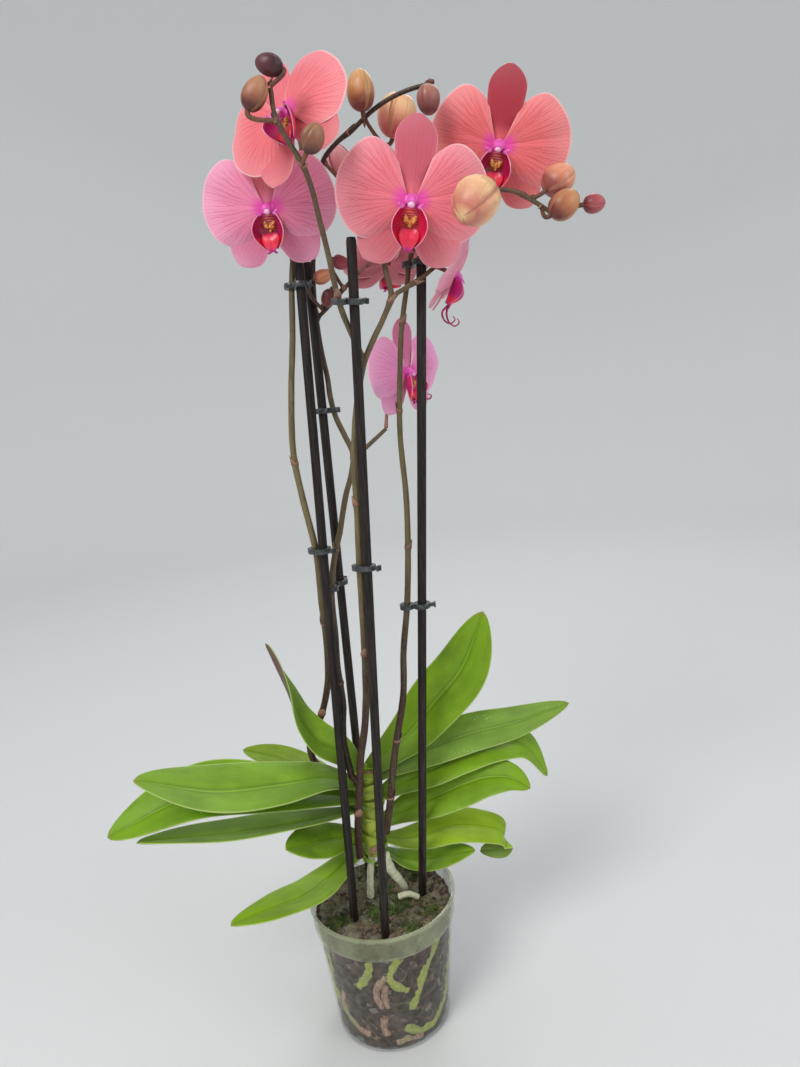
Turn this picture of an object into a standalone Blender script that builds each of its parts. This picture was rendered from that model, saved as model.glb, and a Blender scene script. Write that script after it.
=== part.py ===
"""A potted moth orchid: a clear grower's pot of medium, one plant with thirteen leaves, stems held to
four stakes by eight clips, seven open flowers and fourteen buds. All lengths here are millimetres;
the meshes are made in metres. The origin is the middle of the pot's underside, +Z is up and the
plant's front looks along -Y."""

import math
from typing import NamedTuple

import bmesh
import bpy
import numpy as np
from mathutils import Matrix, Vector

MM = 0.001
GAP = 0.3

# Pot and medium
POT_HEIGHT = 112.0
POT_RIM_RADIUS = 60.0
POT_LIP_STANDOUT = 1.5
POT_BAND_RADIUS = POT_RIM_RADIUS - POT_LIP_STANDOUT
POT_BAND_HEIGHT = 19.0
POT_BAND_FLARE = 0.5
POT_TAPER = 13.0
POT_BASE_RADIUS = POT_RIM_RADIUS - POT_TAPER
POT_WALL = 1.2
POT_FLOOR = 2.0
POT_STEP = 2.0
POT_LIP_HEIGHT = 3.0
POT_LIP_SLOPE = 0.8
POT_ROUNDING = 0.5
POT_FOOT_ROUNDING = 1.5
POT_INNER_STEP = 0.6
POT_SEGMENTS = 32
DRAIN_HOLES = 6
DRAIN_HOLE_RADIUS = 4.0
DRAIN_CIRCLE_RADIUS = 30.0
MEDIUM_DEPTH = 9.0
MEDIUM_CLEARANCE = 0.6
MEDIUM_SHOULDER = 3.0
MEDIUM_SHOULDER_DROP = 1.0
MEDIUM_TOP = POT_HEIGHT - MEDIUM_DEPTH

# The plant's tables below are drawn for a medium, crown and stakes of these sizes.
DRAWN_MEDIUM_TOP = 103.0
DRAWN_CROWN_RADIUS = 8.0
DRAWN_STAKE_RADIUS = 3.3
DRAWN_LEAF_THICKNESS = 1.8
PLANT_LIFT = MEDIUM_TOP - DRAWN_MEDIUM_TOP

# Plant
CROWN_FOOT = (-2.0, 2.0, 146.0)
CROWN_TOP = (-3.0, 3.0, 212.0)
CROWN_RADIUS = 8.0
LEAF_THICKNESS = 1.8
LEAF_SPACING = 12.0
TEPAL_THICKNESS = 1.0
PEDICEL_RADIUS = 1.3
PEDICEL_SWELL = 0.4
BUD_STALK_OVERLAP = 1.5
CROWN_TAPER = 2.0
STAKE_RADIUS = 3.3
STAKE_FOOT = 20.0
STAKE_CLEARANCE = 0.5
STAKE_HOLE_EXTRA = 1.0
CLIP_HEIGHT = 4.0
CLIP_WALL = 1.6
CLIP_CLEARANCE = 1.4
CLIP_TAB_LENGTH = 4.0
CLIP_TAB_WIDTH = 3.0
CLIP_BRIDGE_WIDTH = 4.0
FLOWER_STALK_GAP = 4.5
BUD_STALK_GAP = 4.0

# Tepals of a 90 mm flower
PETAL_RADII = (24, 36.5, 42.5, 45.7, 46.3, 45, 44, 30)
PETAL_LOW_ANGLE = -58.0
PETAL_HIGH_ANGLE = 70.0
PETAL_CLAW = 2.0
TEPAL_SWEEP = -4.0
PETAL_DISH = -5.0
DORSAL_LENGTH = 49.0
DORSAL_WIDTH = 26.0
SIDE_SEPAL_LENGTH = 44.0
SIDE_SEPAL_WIDTH = 28.0
SIDE_SEPAL_TURN = 140.0
LIP_LENGTH = 24.0
LIP_HALF_WIDTH = 11.0
HEART_RADII = (5.0, 5.0, 3.0)
COLUMN_LENGTH = 7.0
COLUMN_RADII = (2.6, 2.2)
SEPAL_SETBACK = 1.2

# Spacing of the points that round routes are built from
CROWN_SPACING = 16.0
ROOT_SPACING = 9.0
STEM_SPACING = 15.0


class Leaf(NamedTuple):
    """A blade: spine points from base to tip, full width, roll at the base and at the tip (degrees,
    positive lowers the front edge), fold of each half up from the midrib, and where it is widest."""

    spine: list
    width: float
    roll: tuple
    fold: float
    widest: float = 0.55


class Stem(NamedTuple):
    """A spike or side branch: its route, and its radius at the foot and at the end."""

    route: list
    foot_radius: float
    end_radius: float


class Flower(NamedTuple):
    """An open flower: its middle, where it faces (degrees right of -Y, degrees above level), its roll
    (degrees, anticlockwise seen from its front), its size against a 90 mm bloom, and its stalk's joint."""

    middle: tuple
    facing: tuple
    roll: float
    size: float
    joint: tuple


class Bud(NamedTuple):
    """A bud: its middle, the way its tip points, its length and width, and its stalk's joint."""

    middle: tuple
    tip: tuple
    length: float
    width: float
    joint: tuple


LEAVES = {
    "leaf_left_1": Leaf(
        [(-14, 3, 208), (-34, -3, 217), (-67, -13, 221), (-114, -25, 227), (-170, -42, 252)],
        54,
        (15, 15),
        10,
    ),
    "leaf_left_2": Leaf(
        [(-14, 3, 195), (-45, 0, 203), (-87, -5, 213), (-128, -12, 220), (-201, -32, 202)], 52, (20, 30), 14
    ),
    "leaf_left_3": Leaf(
        [(-14, 5, 182), (-34, 0, 182), (-68, -12, 185), (-112, -22, 188), (-179, -34, 196)], 40, (-2, -8), 14
    ),
    "leaf_left_4": Leaf(
        [(-12, 4, 158), (-28, 1, 161), (-44, -8, 165), (-58, -20, 170), (-68, -30, 176)], 36, (20, 15), 10
    ),
    "leaf_left_5": Leaf(
        [(-11, 4, 146), (-24, 8, 136), (-42, -6, 130), (-58, -28, 132), (-79, -46, 137), (-109, -64, 140)],
        40,
        (25, 30),
        8,
    ),
    "leaf_left_6": Leaf(
        [(-12, 8, 186), (-28, 25, 190), (-52, 40, 200), (-80, 50, 212), (-110, 52, 222)], 28, (20, 20), 10
    ),
    "leaf_left_7": Leaf(
        [(-9, 4, 219), (-20, 4, 235), (-37, 6, 246), (-49, 8, 262), (-58, 12, 290), (-72, 22, 326)],
        28,
        (70, -40),
        20,
        0.3,
    ),
    "leaf_right_1": Leaf(
        [(1, 12, 215), (18, 18, 226), (38, 22, 241), (58, 22, 263), (78, 20, 285), (101, 6, 340)],
        46,
        (60, 75),
        8,
    ),
    "leaf_right_2": Leaf(
        [(7, 14, 207), (27, 22, 213), (55, 28, 221), (84, 30, 228), (121, 30, 234), (168, 26, 249)],
        34,
        (35, 45),
        10,
        0.4,
    ),
    "leaf_right_3": Leaf(
        [(8, 9, 192), (25, 17, 196), (50, 22, 202), (76, 26, 211)]
        + [(103, 28, 217), (126, 29, 214), (147, 27, 184)],
        38,
        (40, 20),
        12,
    ),
    "leaf_right_4": Leaf(
        [(8, 7, 170), (22, 15, 172), (47, 18, 179), (74, 16, 190)]
        + [(96, 12, 197), (114, 7, 197), (128, 1, 190)],
        38,
        (45, 30),
        12,
    ),
    "leaf_right_5": Leaf(
        [(9, 5, 154), (22, 13, 146), (42, 19, 144), (63, 22, 147)]
        + [(88, 24, 143), (107, 25, 134), (105, 28, 122), (87, 31, 116)],
        34,
        (35, 20),
        8,
    ),
    "leaf_right_6": Leaf(
        [(6, 6, 144), (18, 14, 130), (37, 19, 123), (58, 16, 127), (80, 8, 135)], 26, (30, 30), 8
    ),
}

# Axis points at the medium's surface and at the top, and the way from the stems that it holds.
STAKES = {
    "stake_1": ((-23, -19, 103), (-8, -14, 607), (0.83, -0.55, 0)),
    "stake_2": ((2, -42, 103), (30, -47, 613), (0.87, -0.49, 0)),
    "stake_3": ((33, 3, 103), (75, -24, 601), (1, 0, 0)),
    "stake_4": ((-11, 25, 103), (-4, 10, 609), (-1, 0, 0)),
}

STEMS = {
    "spike_a": Stem(
        [
            (-11, 14, 198),
            (-24, 22, 203),
            (-42, 22, 214),
            (-48, 22, 229),
            (-36, 22, 258),
            (-27, 15, 286),
            (-22, 4, 327),
            (-21, -6, 365),
            (-20, -12, 404),
            (-24, -16, 440),
            (-27, -18, 475),
            (-24, -17, 515),
            (-18, -14, 560),
            (-15, -11, 592),
            (-10, -5, 625),
            (-7, -2, 660),
        ],
        2.9,
        1.9,
    ),
    "spike_b": Stem(
        [
            (-13, -11, 222),
            (-16, -10, 254),
            (-13, -10, 285),
            (-14, -11, 310),
            (-13, -8, 340),
            (-13, -2, 368),
            (-9, 4, 392),
            (-2, 7, 414),
            (5, 9, 440),
            (11, 9, 456),
            (14, 8, 468),
            (9, 10, 485),
            (2, 12, 506),
            (1, 16, 523),
            (-2, 20, 548),
            (-3, 20, 570),
            (-2, 18, 598),
            (1, 14, 618),
            (6, 8, 640),
            (13, 0, 663),
            (18, -8, 675),
            (31, -12, 682),
            (45, -18, 690),
            (58, -22, 698),
            (75, -27, 701),
            (85, -31, 705),
            (90, -34, 702),
        ],
        2.7,
        1.4,
    ),
    "spike_c": Stem(
        [
            (-14, -9, 150),
            (-13, -11, 172),
            (-10, -13, 195),
            (-7, -14, 217),
            (-4, -16, 238),
            (2, -22, 265),
            (6, -28, 291),
            (9, -35, 325),
            (11.5, -41, 370),
            (12.5, -41.5, 394),
            (15, -41, 435),
            (17, -39, 475),
            (23, -36, 511),
            (31, -36, 537),
            (43, -38, 558),
            (52, -40, 574),
            (50, -41, 592),
            (50, -38, 606),
        ],
        3.1,
        1.8,
    ),
    "spike_e": Stem(
        [
            (9, -7, 168),
            (14, -9, 191),
            (18, -10, 214),
            (24, -10, 244),
            (34, -9, 287),
            (37, -9, 319),
            (43, -10, 355),
            (47, -9, 390),
            (50, -9, 435),
            (50, -10, 486),
            (54, -12, 528),
            (58, -14, 558),
            (64, -17, 584),
            (68, -17, 602),
            (82, -22, 622),
            (96, -32, 631),
            (112, -38, 635),
            (127, -45, 633),
            (143, -49, 628),
            (152, -50, 619),
            (160, -50, 614),
        ],
        2.9,
        1.4,
    ),
    "branch_d": Stem([(18, 9, 470), (29, 13, 478), (40, 20, 486)], 1.8, 1.4),
    "branch_f": Stem([(56, -39, 577), (66, -36, 582), (76, -33, 587), (82, -25, 592)], 1.6, 1.4),
    "branch_g": Stem(
        [
            (27, -38, 545),
            (24, -41, 554),
            (21, -46, 562),
            (18, -55, 577),
            (16, -66, 597),
            (13, -75, 620),
            (8, -84, 647),
            (0, -87, 663),
            (-5, -87, 675),
            (-6, -86, 690),
        ],
        2.0,
        1.4,
    ),
    "branch_k": Stem([(0, 15, 572), (7, 9, 577), (14, 6, 582), (21, 6, 589), (31, 8, 598)], 1.5, 1.4),
}

# Clip: the stake and the stem that it holds, and its height.
CLIPS = {
    "clip_1": ("stake_1", "spike_a", 591),
    "clip_2": ("stake_1", "spike_a", 405),
    "clip_3": ("stake_4", "spike_b", 504),
    "clip_4": ("stake_4", "spike_b", 372),
    "clip_5": ("stake_2", "branch_g", 574),
    "clip_6": ("stake_2", "spike_c", 396),
    "clip_7": ("stake_3", "spike_e", 355),
    "clip_8": ("stake_3", "spike_e", 597),
}

FLOWERS = {
    "flower_1": Flower((-2, -59, 683), (-30, 18), 26, 0.92, (-7, -3, 658)),
    "flower_2": Flower((-22, -31, 638), (-5, -10), 0, 0.93, (-11, -6, 618)),
    "flower_3": Flower((70, -61, 628), (-3, -10), -10, 1.0, (50, -38, 608)),
    "flower_4": Flower((132, -25, 664), (-12, -14), -14, 0.96, (112, -38, 635)),
    "flower_5": Flower((98, -6, 589), (82, -33), 0, 0.75, (83, -24, 593)),
    "flower_6": Flower((61, 27, 526), (45, -4), 2, 0.8, (41, 21, 487)),
    "flower_7": Flower((54, 24, 604), (165, -44), 3, 0.73, (31, 8, 598)),
}

BUDS = {
    "bud_01": Bud((-5, -86, 702), (-3, 0, 1), 16, 12, (-6, -86, 691)),
    "bud_02": Bud((-15, -89, 687), (2, 0, 3), 20, 14, (-4, -87, 673)),
    "bud_03": Bud((15, -92, 660), (2, -1, 3), 17, 14, (7, -84, 648)),
    "bud_04": Bud((45, -25, 705), (0, 0, 1), 25, 18, (45, -18, 690)),
    "bud_05": Bud((87, -37, 692), (0, 0, -1), 18, 15, (91, -34, 703)),
    "bud_06": Bud((105, -88, 619), (-1, -1, -1), 31, 28, (118, -42, 635)),
    "bud_07": Bud((165, -44, 636), (3, 1, 2), 23, 20, (146, -50, 625)),
    "bud_08": Bud((163, -63, 617), (3, 0, 2), 21, 17, (152, -50, 619)),
    "bud_09": Bud((184, -54, 618), (1, 0, 0), 14, 12, (161, -50, 614)),
    "bud_10": Bud((20, -4, 605), (2, 0, -1), 12, 10, (20, 6, 588)),
    "bud_11": Bud((7, -8, 596), (3, 0, 1), 14, 10, (4, 12, 575)),
    "bud_12": Bud((9, -4, 582), (-1, 0, -2), 13, 10, (12, 7, 581)),
    "opening_bud_1": Bud((68, 2, 696), (1, -1, 3), 28, 24, (46, -18, 690)),
    "opening_bud_2": Bud((27, 12, 672), (-1, -1, 3), 24, 15, (16, -4, 670)),
}

# Route and the radius at the top and at the foot.
ROOTS = {
    "root_1": ([(-5, -1, 145), (-8, 0, 128), (-10, 2, 105.5)], 2.8, 3.0),
    "root_2": ([(5, -2, 145), (9, 0, 130), (16, 4, 115), (19, 8, 106)], 4.2, 2.8),
    "root_3": ([(14, -4, 107), (22, -6, 110), (30, -7, 107)], 2.6, 2.2),
}


def reset_scene():
    for obj in list(bpy.data.objects):
        bpy.data.objects.remove(obj, do_unlink=True)


def material(name, colour, roughness, metallic=0.0):
    """A Principled material, made once for each name."""
    mat = bpy.data.materials.get(name) or bpy.data.materials.new(name)
    mat.use_nodes = True
    shader = mat.node_tree.nodes["Principled BSDF"]
    shader.inputs["Base Color"].default_value = (*colour, 1.0)
    shader.inputs["Roughness"].default_value = roughness
    shader.inputs["Metallic"].default_value = metallic
    return mat


def clear_plastic():
    return material("clear_plastic", (0.72, 0.76, 0.72), 0.15)


def medium_stuff():
    return material("bark_medium", (0.16, 0.12, 0.08), 0.95)


def leaf_green():
    return material("leaf_green", (0.19, 0.42, 0.03), 0.35)


def stem_brown():
    return material("stem_brown", (0.14, 0.10, 0.04), 0.5)


def stake_plastic():
    return material("stake_plastic", (0.02, 0.016, 0.015), 0.5)


def clip_plastic():
    return material("clip_plastic", (0.04, 0.045, 0.05), 0.3)


def petal_coral():
    return material("petal_coral", (0.85, 0.26, 0.28), 0.5)


def bud_skin():
    return material("bud_skin", (0.45, 0.20, 0.10), 0.45)


def root_white():
    return material("root_white", (0.66, 0.68, 0.52), 0.8)


def link(name, mesh, mat):
    """A node: a scene object with its own material."""
    obj = bpy.data.objects.new(name, mesh)
    mesh.materials.clear()
    mesh.materials.append(mat)
    bpy.context.scene.collection.objects.link(obj)
    return obj


def mesh_from(bm, name="shape"):
    """A smooth-shaded mesh whose faces all point out."""
    bmesh.ops.recalc_face_normals(bm, faces=bm.faces)
    if bm.calc_volume(signed=True) < 0:
        bmesh.ops.reverse_faces(bm, faces=bm.faces)
    mesh = bpy.data.meshes.new(name)
    bm.to_mesh(mesh)
    bm.free()
    mesh.shade_smooth()
    mesh.set_sharp_from_angle(angle=math.radians(40))
    return mesh


def smooth_path(knots, spacing):
    """Points about `spacing` apart on a smooth curve through the knots."""
    knots = np.array(knots, float)
    runs = np.linalg.norm(np.diff(knots, axis=0), axis=1)
    at = np.concatenate([[0.0], np.cumsum(runs)])
    slopes = np.gradient(knots, at, axis=0)
    wanted = np.linspace(0.0, at[-1], max(2, round(at[-1] / spacing) + 1))
    span = np.clip(np.searchsorted(at, wanted, side="right") - 1, 0, len(runs) - 1)
    length = runs[span][:, None]
    t = (wanted[:, None] - at[span][:, None]) / length
    return (
        (2 * t**3 - 3 * t**2 + 1) * knots[span]
        + (t**3 - 2 * t**2 + t) * length * slopes[span]
        + (3 * t**2 - 2 * t**3) * knots[span + 1]
        + (t**3 - t**2) * length * slopes[span + 1]
    )


def tube_mesh(points, first_radius, last_radius, roundness=1):
    """A closed tube along the points, from a bevelled curve with filled caps."""
    curve = bpy.data.curves.new("tube", "CURVE")
    curve.dimensions = "3D"
    curve.bevel_depth = MM
    curve.bevel_resolution = roundness
    curve.use_fill_caps = True
    spline = curve.splines.new("POLY")
    spline.points.add(len(points) - 1)
    for knot, place, radius in zip(
        spline.points, points, np.linspace(first_radius, last_radius, len(points))
    ):
        knot.co = (*(Vector(place) * MM), 1.0)
        knot.radius = radius
    guide = bpy.data.objects.new("guide", curve)
    bpy.context.scene.collection.objects.link(guide)
    graph = bpy.context.evaluated_depsgraph_get()
    made = bpy.data.meshes.new_from_object(guide.evaluated_get(graph))
    bpy.data.objects.remove(guide)
    bpy.data.curves.remove(curve)
    bm = bmesh.new()
    bm.from_mesh(made)
    bpy.data.meshes.remove(made)
    bmesh.ops.remove_doubles(bm, verts=bm.verts, dist=1e-6)
    return mesh_from(bm)


def sheet_mesh(grid, thickness):
    """A closed sheet with its middle surface on a grid of points, rows by columns."""
    rows, columns = grid.shape[:2]
    bm = bmesh.new()
    verts = [bm.verts.new(Vector(p) * MM) for p in grid.reshape(-1, 3)]
    for row in range(rows - 1):
        for column in range(columns - 1):
            corner = row * columns + column
            bm.faces.new(
                [
                    verts[corner],
                    verts[corner + 1],
                    verts[corner + columns + 1],
                    verts[corner + columns],
                ]
            )
    bm.normal_update()
    shift = {vert: vert.normal * (thickness * MM / 2) for vert in bm.verts}
    for vert, offset in shift.items():
        vert.co = vert.co - offset
    bmesh.ops.solidify(bm, geom=bm.faces[:], thickness=-thickness * MM)
    return mesh_from(bm)


def ellipsoid_mesh(middle, radii, across=8, along=5, turn=None):
    """A faceted ellipsoid whose poles lie on its own Z axis."""
    bm = bmesh.new()
    bmesh.ops.create_uvsphere(bm, u_segments=across, v_segments=along, radius=MM)
    place = Matrix.Translation(Vector(middle) * MM)
    turn = turn or Matrix.Identity(4)
    bm.transform(place @ turn @ Matrix.Diagonal((*radii, 1.0)))
    return mesh_from(bm)


def fused(name, meshes, mat):
    """One closed body from overlapping closed meshes."""
    body = link(name, meshes[0], mat)
    bm = bmesh.new()
    for mesh in meshes[1:]:
        bm.from_mesh(mesh)
    extra = bpy.data.meshes.new(name + "_rest")
    bm.to_mesh(extra)
    bm.free()
    rest = bpy.data.objects.new(name + "_rest", extra)
    bpy.context.scene.collection.objects.link(rest)
    union = body.modifiers.new("union", "BOOLEAN")
    union.operation = "UNION"
    union.solver = "EXACT"
    union.use_self = True
    union.object = rest
    graph = bpy.context.evaluated_depsgraph_get()
    joined = bpy.data.meshes.new_from_object(body.evaluated_get(graph))
    body.modifiers.clear()
    body.data = joined
    bpy.data.objects.remove(rest)
    return body


def cut(body, cutter_mesh, label):
    """Takes a hidden cutter's shape out of the body."""
    cutter = bpy.data.objects.new(f"{body.name}_{label}", cutter_mesh)
    cutter.hide_render = True
    cutter.display_type = "WIRE"
    bpy.context.scene.collection.objects.link(cutter)
    hole = body.modifiers.new(label, "BOOLEAN")
    hole.operation = "DIFFERENCE"
    hole.solver = "EXACT"
    hole.object = cutter


def rod_mesh(start, end, radius, sides=10):
    """A plain cylinder between two points."""
    start, end = Vector(start) * MM, Vector(end) * MM
    bm = bmesh.new()
    bmesh.ops.create_cone(
        bm,
        cap_ends=True,
        segments=sides,
        radius1=radius * MM,
        radius2=radius * MM,
        depth=(end - start).length,
    )
    turn = (end - start).to_track_quat("Z", "Y").to_matrix().to_4x4()
    bm.transform(Matrix.Translation((start + end) / 2) @ turn)
    return mesh_from(bm)


def turned_mesh(profile, segments):
    """A closed solid of revolution about Z from a profile of (radius, height) that ends on the axis."""
    bm = bmesh.new()
    verts = [bm.verts.new(Vector((radius, 0.0, height)) * MM) for radius, height in profile]
    edges = [bm.edges.new(pair) for pair in zip(verts, verts[1:])]
    bmesh.ops.spin(
        bm,
        geom=verts + edges,
        cent=(0.0, 0.0, 0.0),
        axis=(0.0, 0.0, 1.0),
        angle=math.tau,
        steps=segments,
        use_merge=True,
    )
    bmesh.ops.remove_doubles(bm, verts=bm.verts, dist=1e-6)
    return mesh_from(bm)


def pot_radius(height):
    """The outer radius of the tapering body below the band."""
    top = POT_BAND_RADIUS - POT_STEP
    return POT_BASE_RADIUS + (top - POT_BASE_RADIUS) * height / (POT_HEIGHT - POT_BAND_HEIGHT)


def build_pot():
    """A tapering clear pot with a stepped band, a thick lip and drain holes."""
    band_foot = POT_HEIGHT - POT_BAND_HEIGHT
    lip_foot = POT_HEIGHT - POT_LIP_HEIGHT
    profile = [
        (0.0, 0.0),
        (POT_BASE_RADIUS - POT_FOOT_ROUNDING, 0.0),
        (POT_BASE_RADIUS, POT_FOOT_ROUNDING),
        (pot_radius(band_foot - POT_STEP), band_foot - POT_STEP),
        (POT_BAND_RADIUS - POT_BAND_FLARE, band_foot),
        (POT_BAND_RADIUS + POT_BAND_FLARE, lip_foot),
        (POT_RIM_RADIUS, lip_foot + POT_LIP_SLOPE),
        (POT_RIM_RADIUS, POT_HEIGHT - POT_ROUNDING),
        (POT_RIM_RADIUS - POT_ROUNDING, POT_HEIGHT),
        (POT_BAND_RADIUS - POT_WALL + GAP, POT_HEIGHT),
        (POT_BAND_RADIUS - POT_BAND_FLARE - POT_WALL, band_foot + POT_INNER_STEP),
        (pot_radius(band_foot - POT_STEP) - POT_WALL, band_foot - POT_STEP + POT_INNER_STEP),
        (pot_radius(POT_FLOOR) - POT_WALL, POT_FLOOR),
        (0.0, POT_FLOOR),
    ]
    pot = link("pot", turned_mesh(profile, POT_SEGMENTS), clear_plastic())
    for number in range(DRAIN_HOLES):
        angle = math.tau * number / DRAIN_HOLES
        across = DRAIN_CIRCLE_RADIUS * math.cos(angle)
        along = DRAIN_CIRCLE_RADIUS * math.sin(angle)
        low, high = -POT_FLOOR, 2 * POT_FLOOR
        hole = rod_mesh((across, along, low), (across, along, high), DRAIN_HOLE_RADIUS)
        cut(pot, hole, f"drain_{number}")


def build_medium():
    """The medium fills the pot and has a clear hole for each stake."""
    band_foot = POT_HEIGHT - POT_BAND_HEIGHT
    inset = POT_WALL + MEDIUM_CLEARANCE
    top = POT_BAND_RADIUS - POT_BAND_FLARE - inset
    profile = [
        (0.0, POT_FLOOR + GAP),
        (pot_radius(POT_FLOOR) - inset, POT_FLOOR + GAP),
        (pot_radius(band_foot - POT_STEP) - inset, band_foot - POT_STEP),
        (top, band_foot + 2 * POT_INNER_STEP),
        (top, MEDIUM_TOP - MEDIUM_SHOULDER_DROP),
        (top - MEDIUM_SHOULDER, MEDIUM_TOP),
        (0.0, MEDIUM_TOP),
    ]
    medium = link("growing_medium", turned_mesh(profile, POT_SEGMENTS), medium_stuff())
    for name in STAKES:
        low = along_stake(name, STAKE_FOOT - STAKE_HOLE_EXTRA)
        high = along_stake(name, MEDIUM_TOP + STAKE_HOLE_EXTRA)
        cut(medium, rod_mesh(low, high, STAKE_RADIUS + STAKE_CLEARANCE), name)


def planted(points):
    """Points of the plant's tables, raised with the medium's surface."""
    return [(across, along, height + PLANT_LIFT) for across, along, height in points]


def stake_ends(name):
    """A stake's axis at the medium and at its top; a thicker stake stands further off its stems."""
    foot, top, away = STAKES[name]
    shift = Vector(away) * (STAKE_RADIUS - DRAWN_STAKE_RADIUS)
    return [Vector(end) + shift for end in planted([foot, top])]


def along_stake(name, height):
    """The point on a stake's axis at a height."""
    foot, top = stake_ends(name)
    return foot + (top - foot) * (height - foot.z) / (top.z - foot.z)


def build_stakes():
    for name in STAKES:
        foot, top = along_stake(name, STAKE_FOOT), stake_ends(name)[1]
        link(name, rod_mesh(foot, top, STAKE_RADIUS, 8), stake_plastic())


def build_crown():
    path = smooth_path(planted([CROWN_FOOT, CROWN_TOP]), CROWN_SPACING)
    link("crown_stem", tube_mesh(path, CROWN_RADIUS, CROWN_RADIUS - CROWN_TAPER, 3), leaf_green())


def build_roots():
    for name, (knots, top_radius, foot_radius) in ROOTS.items():
        path = smooth_path(planted(knots), ROOT_SPACING)
        link(name, tube_mesh(path, top_radius, foot_radius), root_white())


def blade_width(along, widest, base=0.3):
    """Half-width of a leaf against its widest, from base to tip."""
    if along < widest:
        return base + (1.0 - base) * math.sin(math.pi / 2 * along / widest)
    return max(0.02, math.cos(math.pi / 2 * (along - widest) / (1.0 - widest)) ** 0.6)


def off_crown(spine):
    """A leaf's spine, moved out with the crown's side, and up with the thickness of the leaves below."""
    away = Vector(spine[0]) - Vector(CROWN_FOOT)
    rise = away.z / LEAF_SPACING * (LEAF_THICKNESS - DRAWN_LEAF_THICKNESS)
    away.z = 0.0
    shift = away.normalized() * (CROWN_RADIUS - DRAWN_CROWN_RADIUS) + Vector((0, 0, rise))
    return [Vector(point) + shift for point in planted(spine)]


def blade_grid(leaf, rows, columns):
    """Leaf surface points: rows along the spine, columns across it from front to back."""
    knots = smooth_path(off_crown(leaf.spine), 1.0)
    picks = np.linspace(0, len(knots) - 1, rows).round().astype(int)
    tangents = np.gradient(knots, axis=0)
    rise = math.tan(math.radians(leaf.fold))
    first = Vector(tangents[0]).normalized()
    side = first.cross(Vector((0, 0, 1)))
    side = side if side.y > 0 else -side
    grid = np.zeros((rows, columns, 3))
    for row, pick in enumerate(picks):
        along = row / (rows - 1)
        tangent = Vector(tangents[pick]).normalized()
        side = (side - tangent * side.dot(tangent)).normalized()
        handed = 1 if tangent.cross(side).z > 0 else -1
        roll = leaf.roll[0] + (leaf.roll[1] - leaf.roll[0]) * along
        across = Matrix.Rotation(math.radians(roll) * handed, 3, tangent) @ side
        normal = tangent.cross(across) * handed
        half = blade_width(along, leaf.widest) * leaf.width / 2
        for column in range(columns):
            share = 2 * column / (columns - 1) - 1
            grid[row, column] = Vector(knots[pick]) + (across * share + normal * rise * abs(share)) * half
    return grid


def build_leaves():
    for name, leaf in LEAVES.items():
        link(name, sheet_mesh(blade_grid(leaf, 9, 5), LEAF_THICKNESS), leaf_green())


def stem_path(name):
    return smooth_path(planted(STEMS[name].route), STEM_SPACING)


def build_stems():
    for name, stem in STEMS.items():
        link(name, tube_mesh(stem_path(name), stem.foot_radius, stem.end_radius), stem_brown())


def stem_at_height(name, height):
    """The stem's axis point, radius and direction where it first reaches a height."""
    path = stem_path(name)
    stem = STEMS[name]
    for number, (low, high) in enumerate(zip(path, path[1:])):
        if low[2] <= height <= high[2]:
            share = (height - low[2]) / (high[2] - low[2])
            along = (number + share) / (len(path) - 1)
            radius = stem.foot_radius + (stem.end_radius - stem.foot_radius) * along
            return Vector(low + (high - low) * share), radius, Vector(high - low).normalized()
    raise ValueError(f"{name} never reaches {height}")


def box_mesh(low, high):
    """A box between two corners."""
    bm = bmesh.new()
    bmesh.ops.create_cube(bm, size=MM)
    size = Vector(high) - Vector(low)
    middle = (Vector(high) + Vector(low)) / 2 * MM
    bm.transform(Matrix.Translation(middle) @ Matrix.Diagonal((*size, 1.0)))
    return mesh_from(bm)


def build_clips():
    """Each clip is a ring round its stake, a ring round its stem, a bridge and a tab."""
    for name, (stake, stem, drawn_height) in CLIPS.items():
        height = drawn_height + PLANT_LIFT
        stake_point = along_stake(stake, height)
        stem_point, stem_radius, stem_way = stem_at_height(stem, height)
        reach = (stem_point - stake_point).length
        stake_bore = STAKE_RADIUS + CLIP_CLEARANCE
        stem_bore = stem_radius + CLIP_CLEARANCE
        half = CLIP_HEIGHT / 2
        tab = stake_bore + CLIP_WALL + CLIP_TAB_LENGTH
        shells = [
            rod_mesh((0, 0, -half), (0, 0, half), stake_bore + CLIP_WALL, 10),
            rod_mesh((reach, 0, -half), (reach, 0, half), stem_bore + CLIP_WALL, 10),
            box_mesh((0, -CLIP_BRIDGE_WIDTH / 2, 1 - half), (reach, CLIP_BRIDGE_WIDTH / 2, half - 1)),
            box_mesh((-tab, -CLIP_TAB_WIDTH / 2, 0.6 - half), (-stake_bore, CLIP_TAB_WIDTH / 2, half - 0.6)),
        ]
        clip = fused(name, shells, clip_plastic())
        cut(clip, rod_mesh((0, 0, -CLIP_HEIGHT), (0, 0, CLIP_HEIGHT), stake_bore, 8), "stake_bore")
        stem_cut = rod_mesh((reach, 0, -CLIP_HEIGHT), (reach, 0, CLIP_HEIGHT), stem_bore, 8)
        cut(clip, stem_cut, "stem_bore")
        across = (stem_point - stake_point).normalized()
        up = (along_stake(stake, height + 10) - stake_point).normalized() + stem_way
        up = (up - across * up.dot(across)).normalized()
        frame = Matrix((across, up.cross(across), up)).transposed().to_4x4()
        place = Matrix.Translation(stake_point * MM) @ frame
        clip.matrix_world = place
        for modifier in clip.modifiers:
            modifier.object.matrix_world = place


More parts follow.
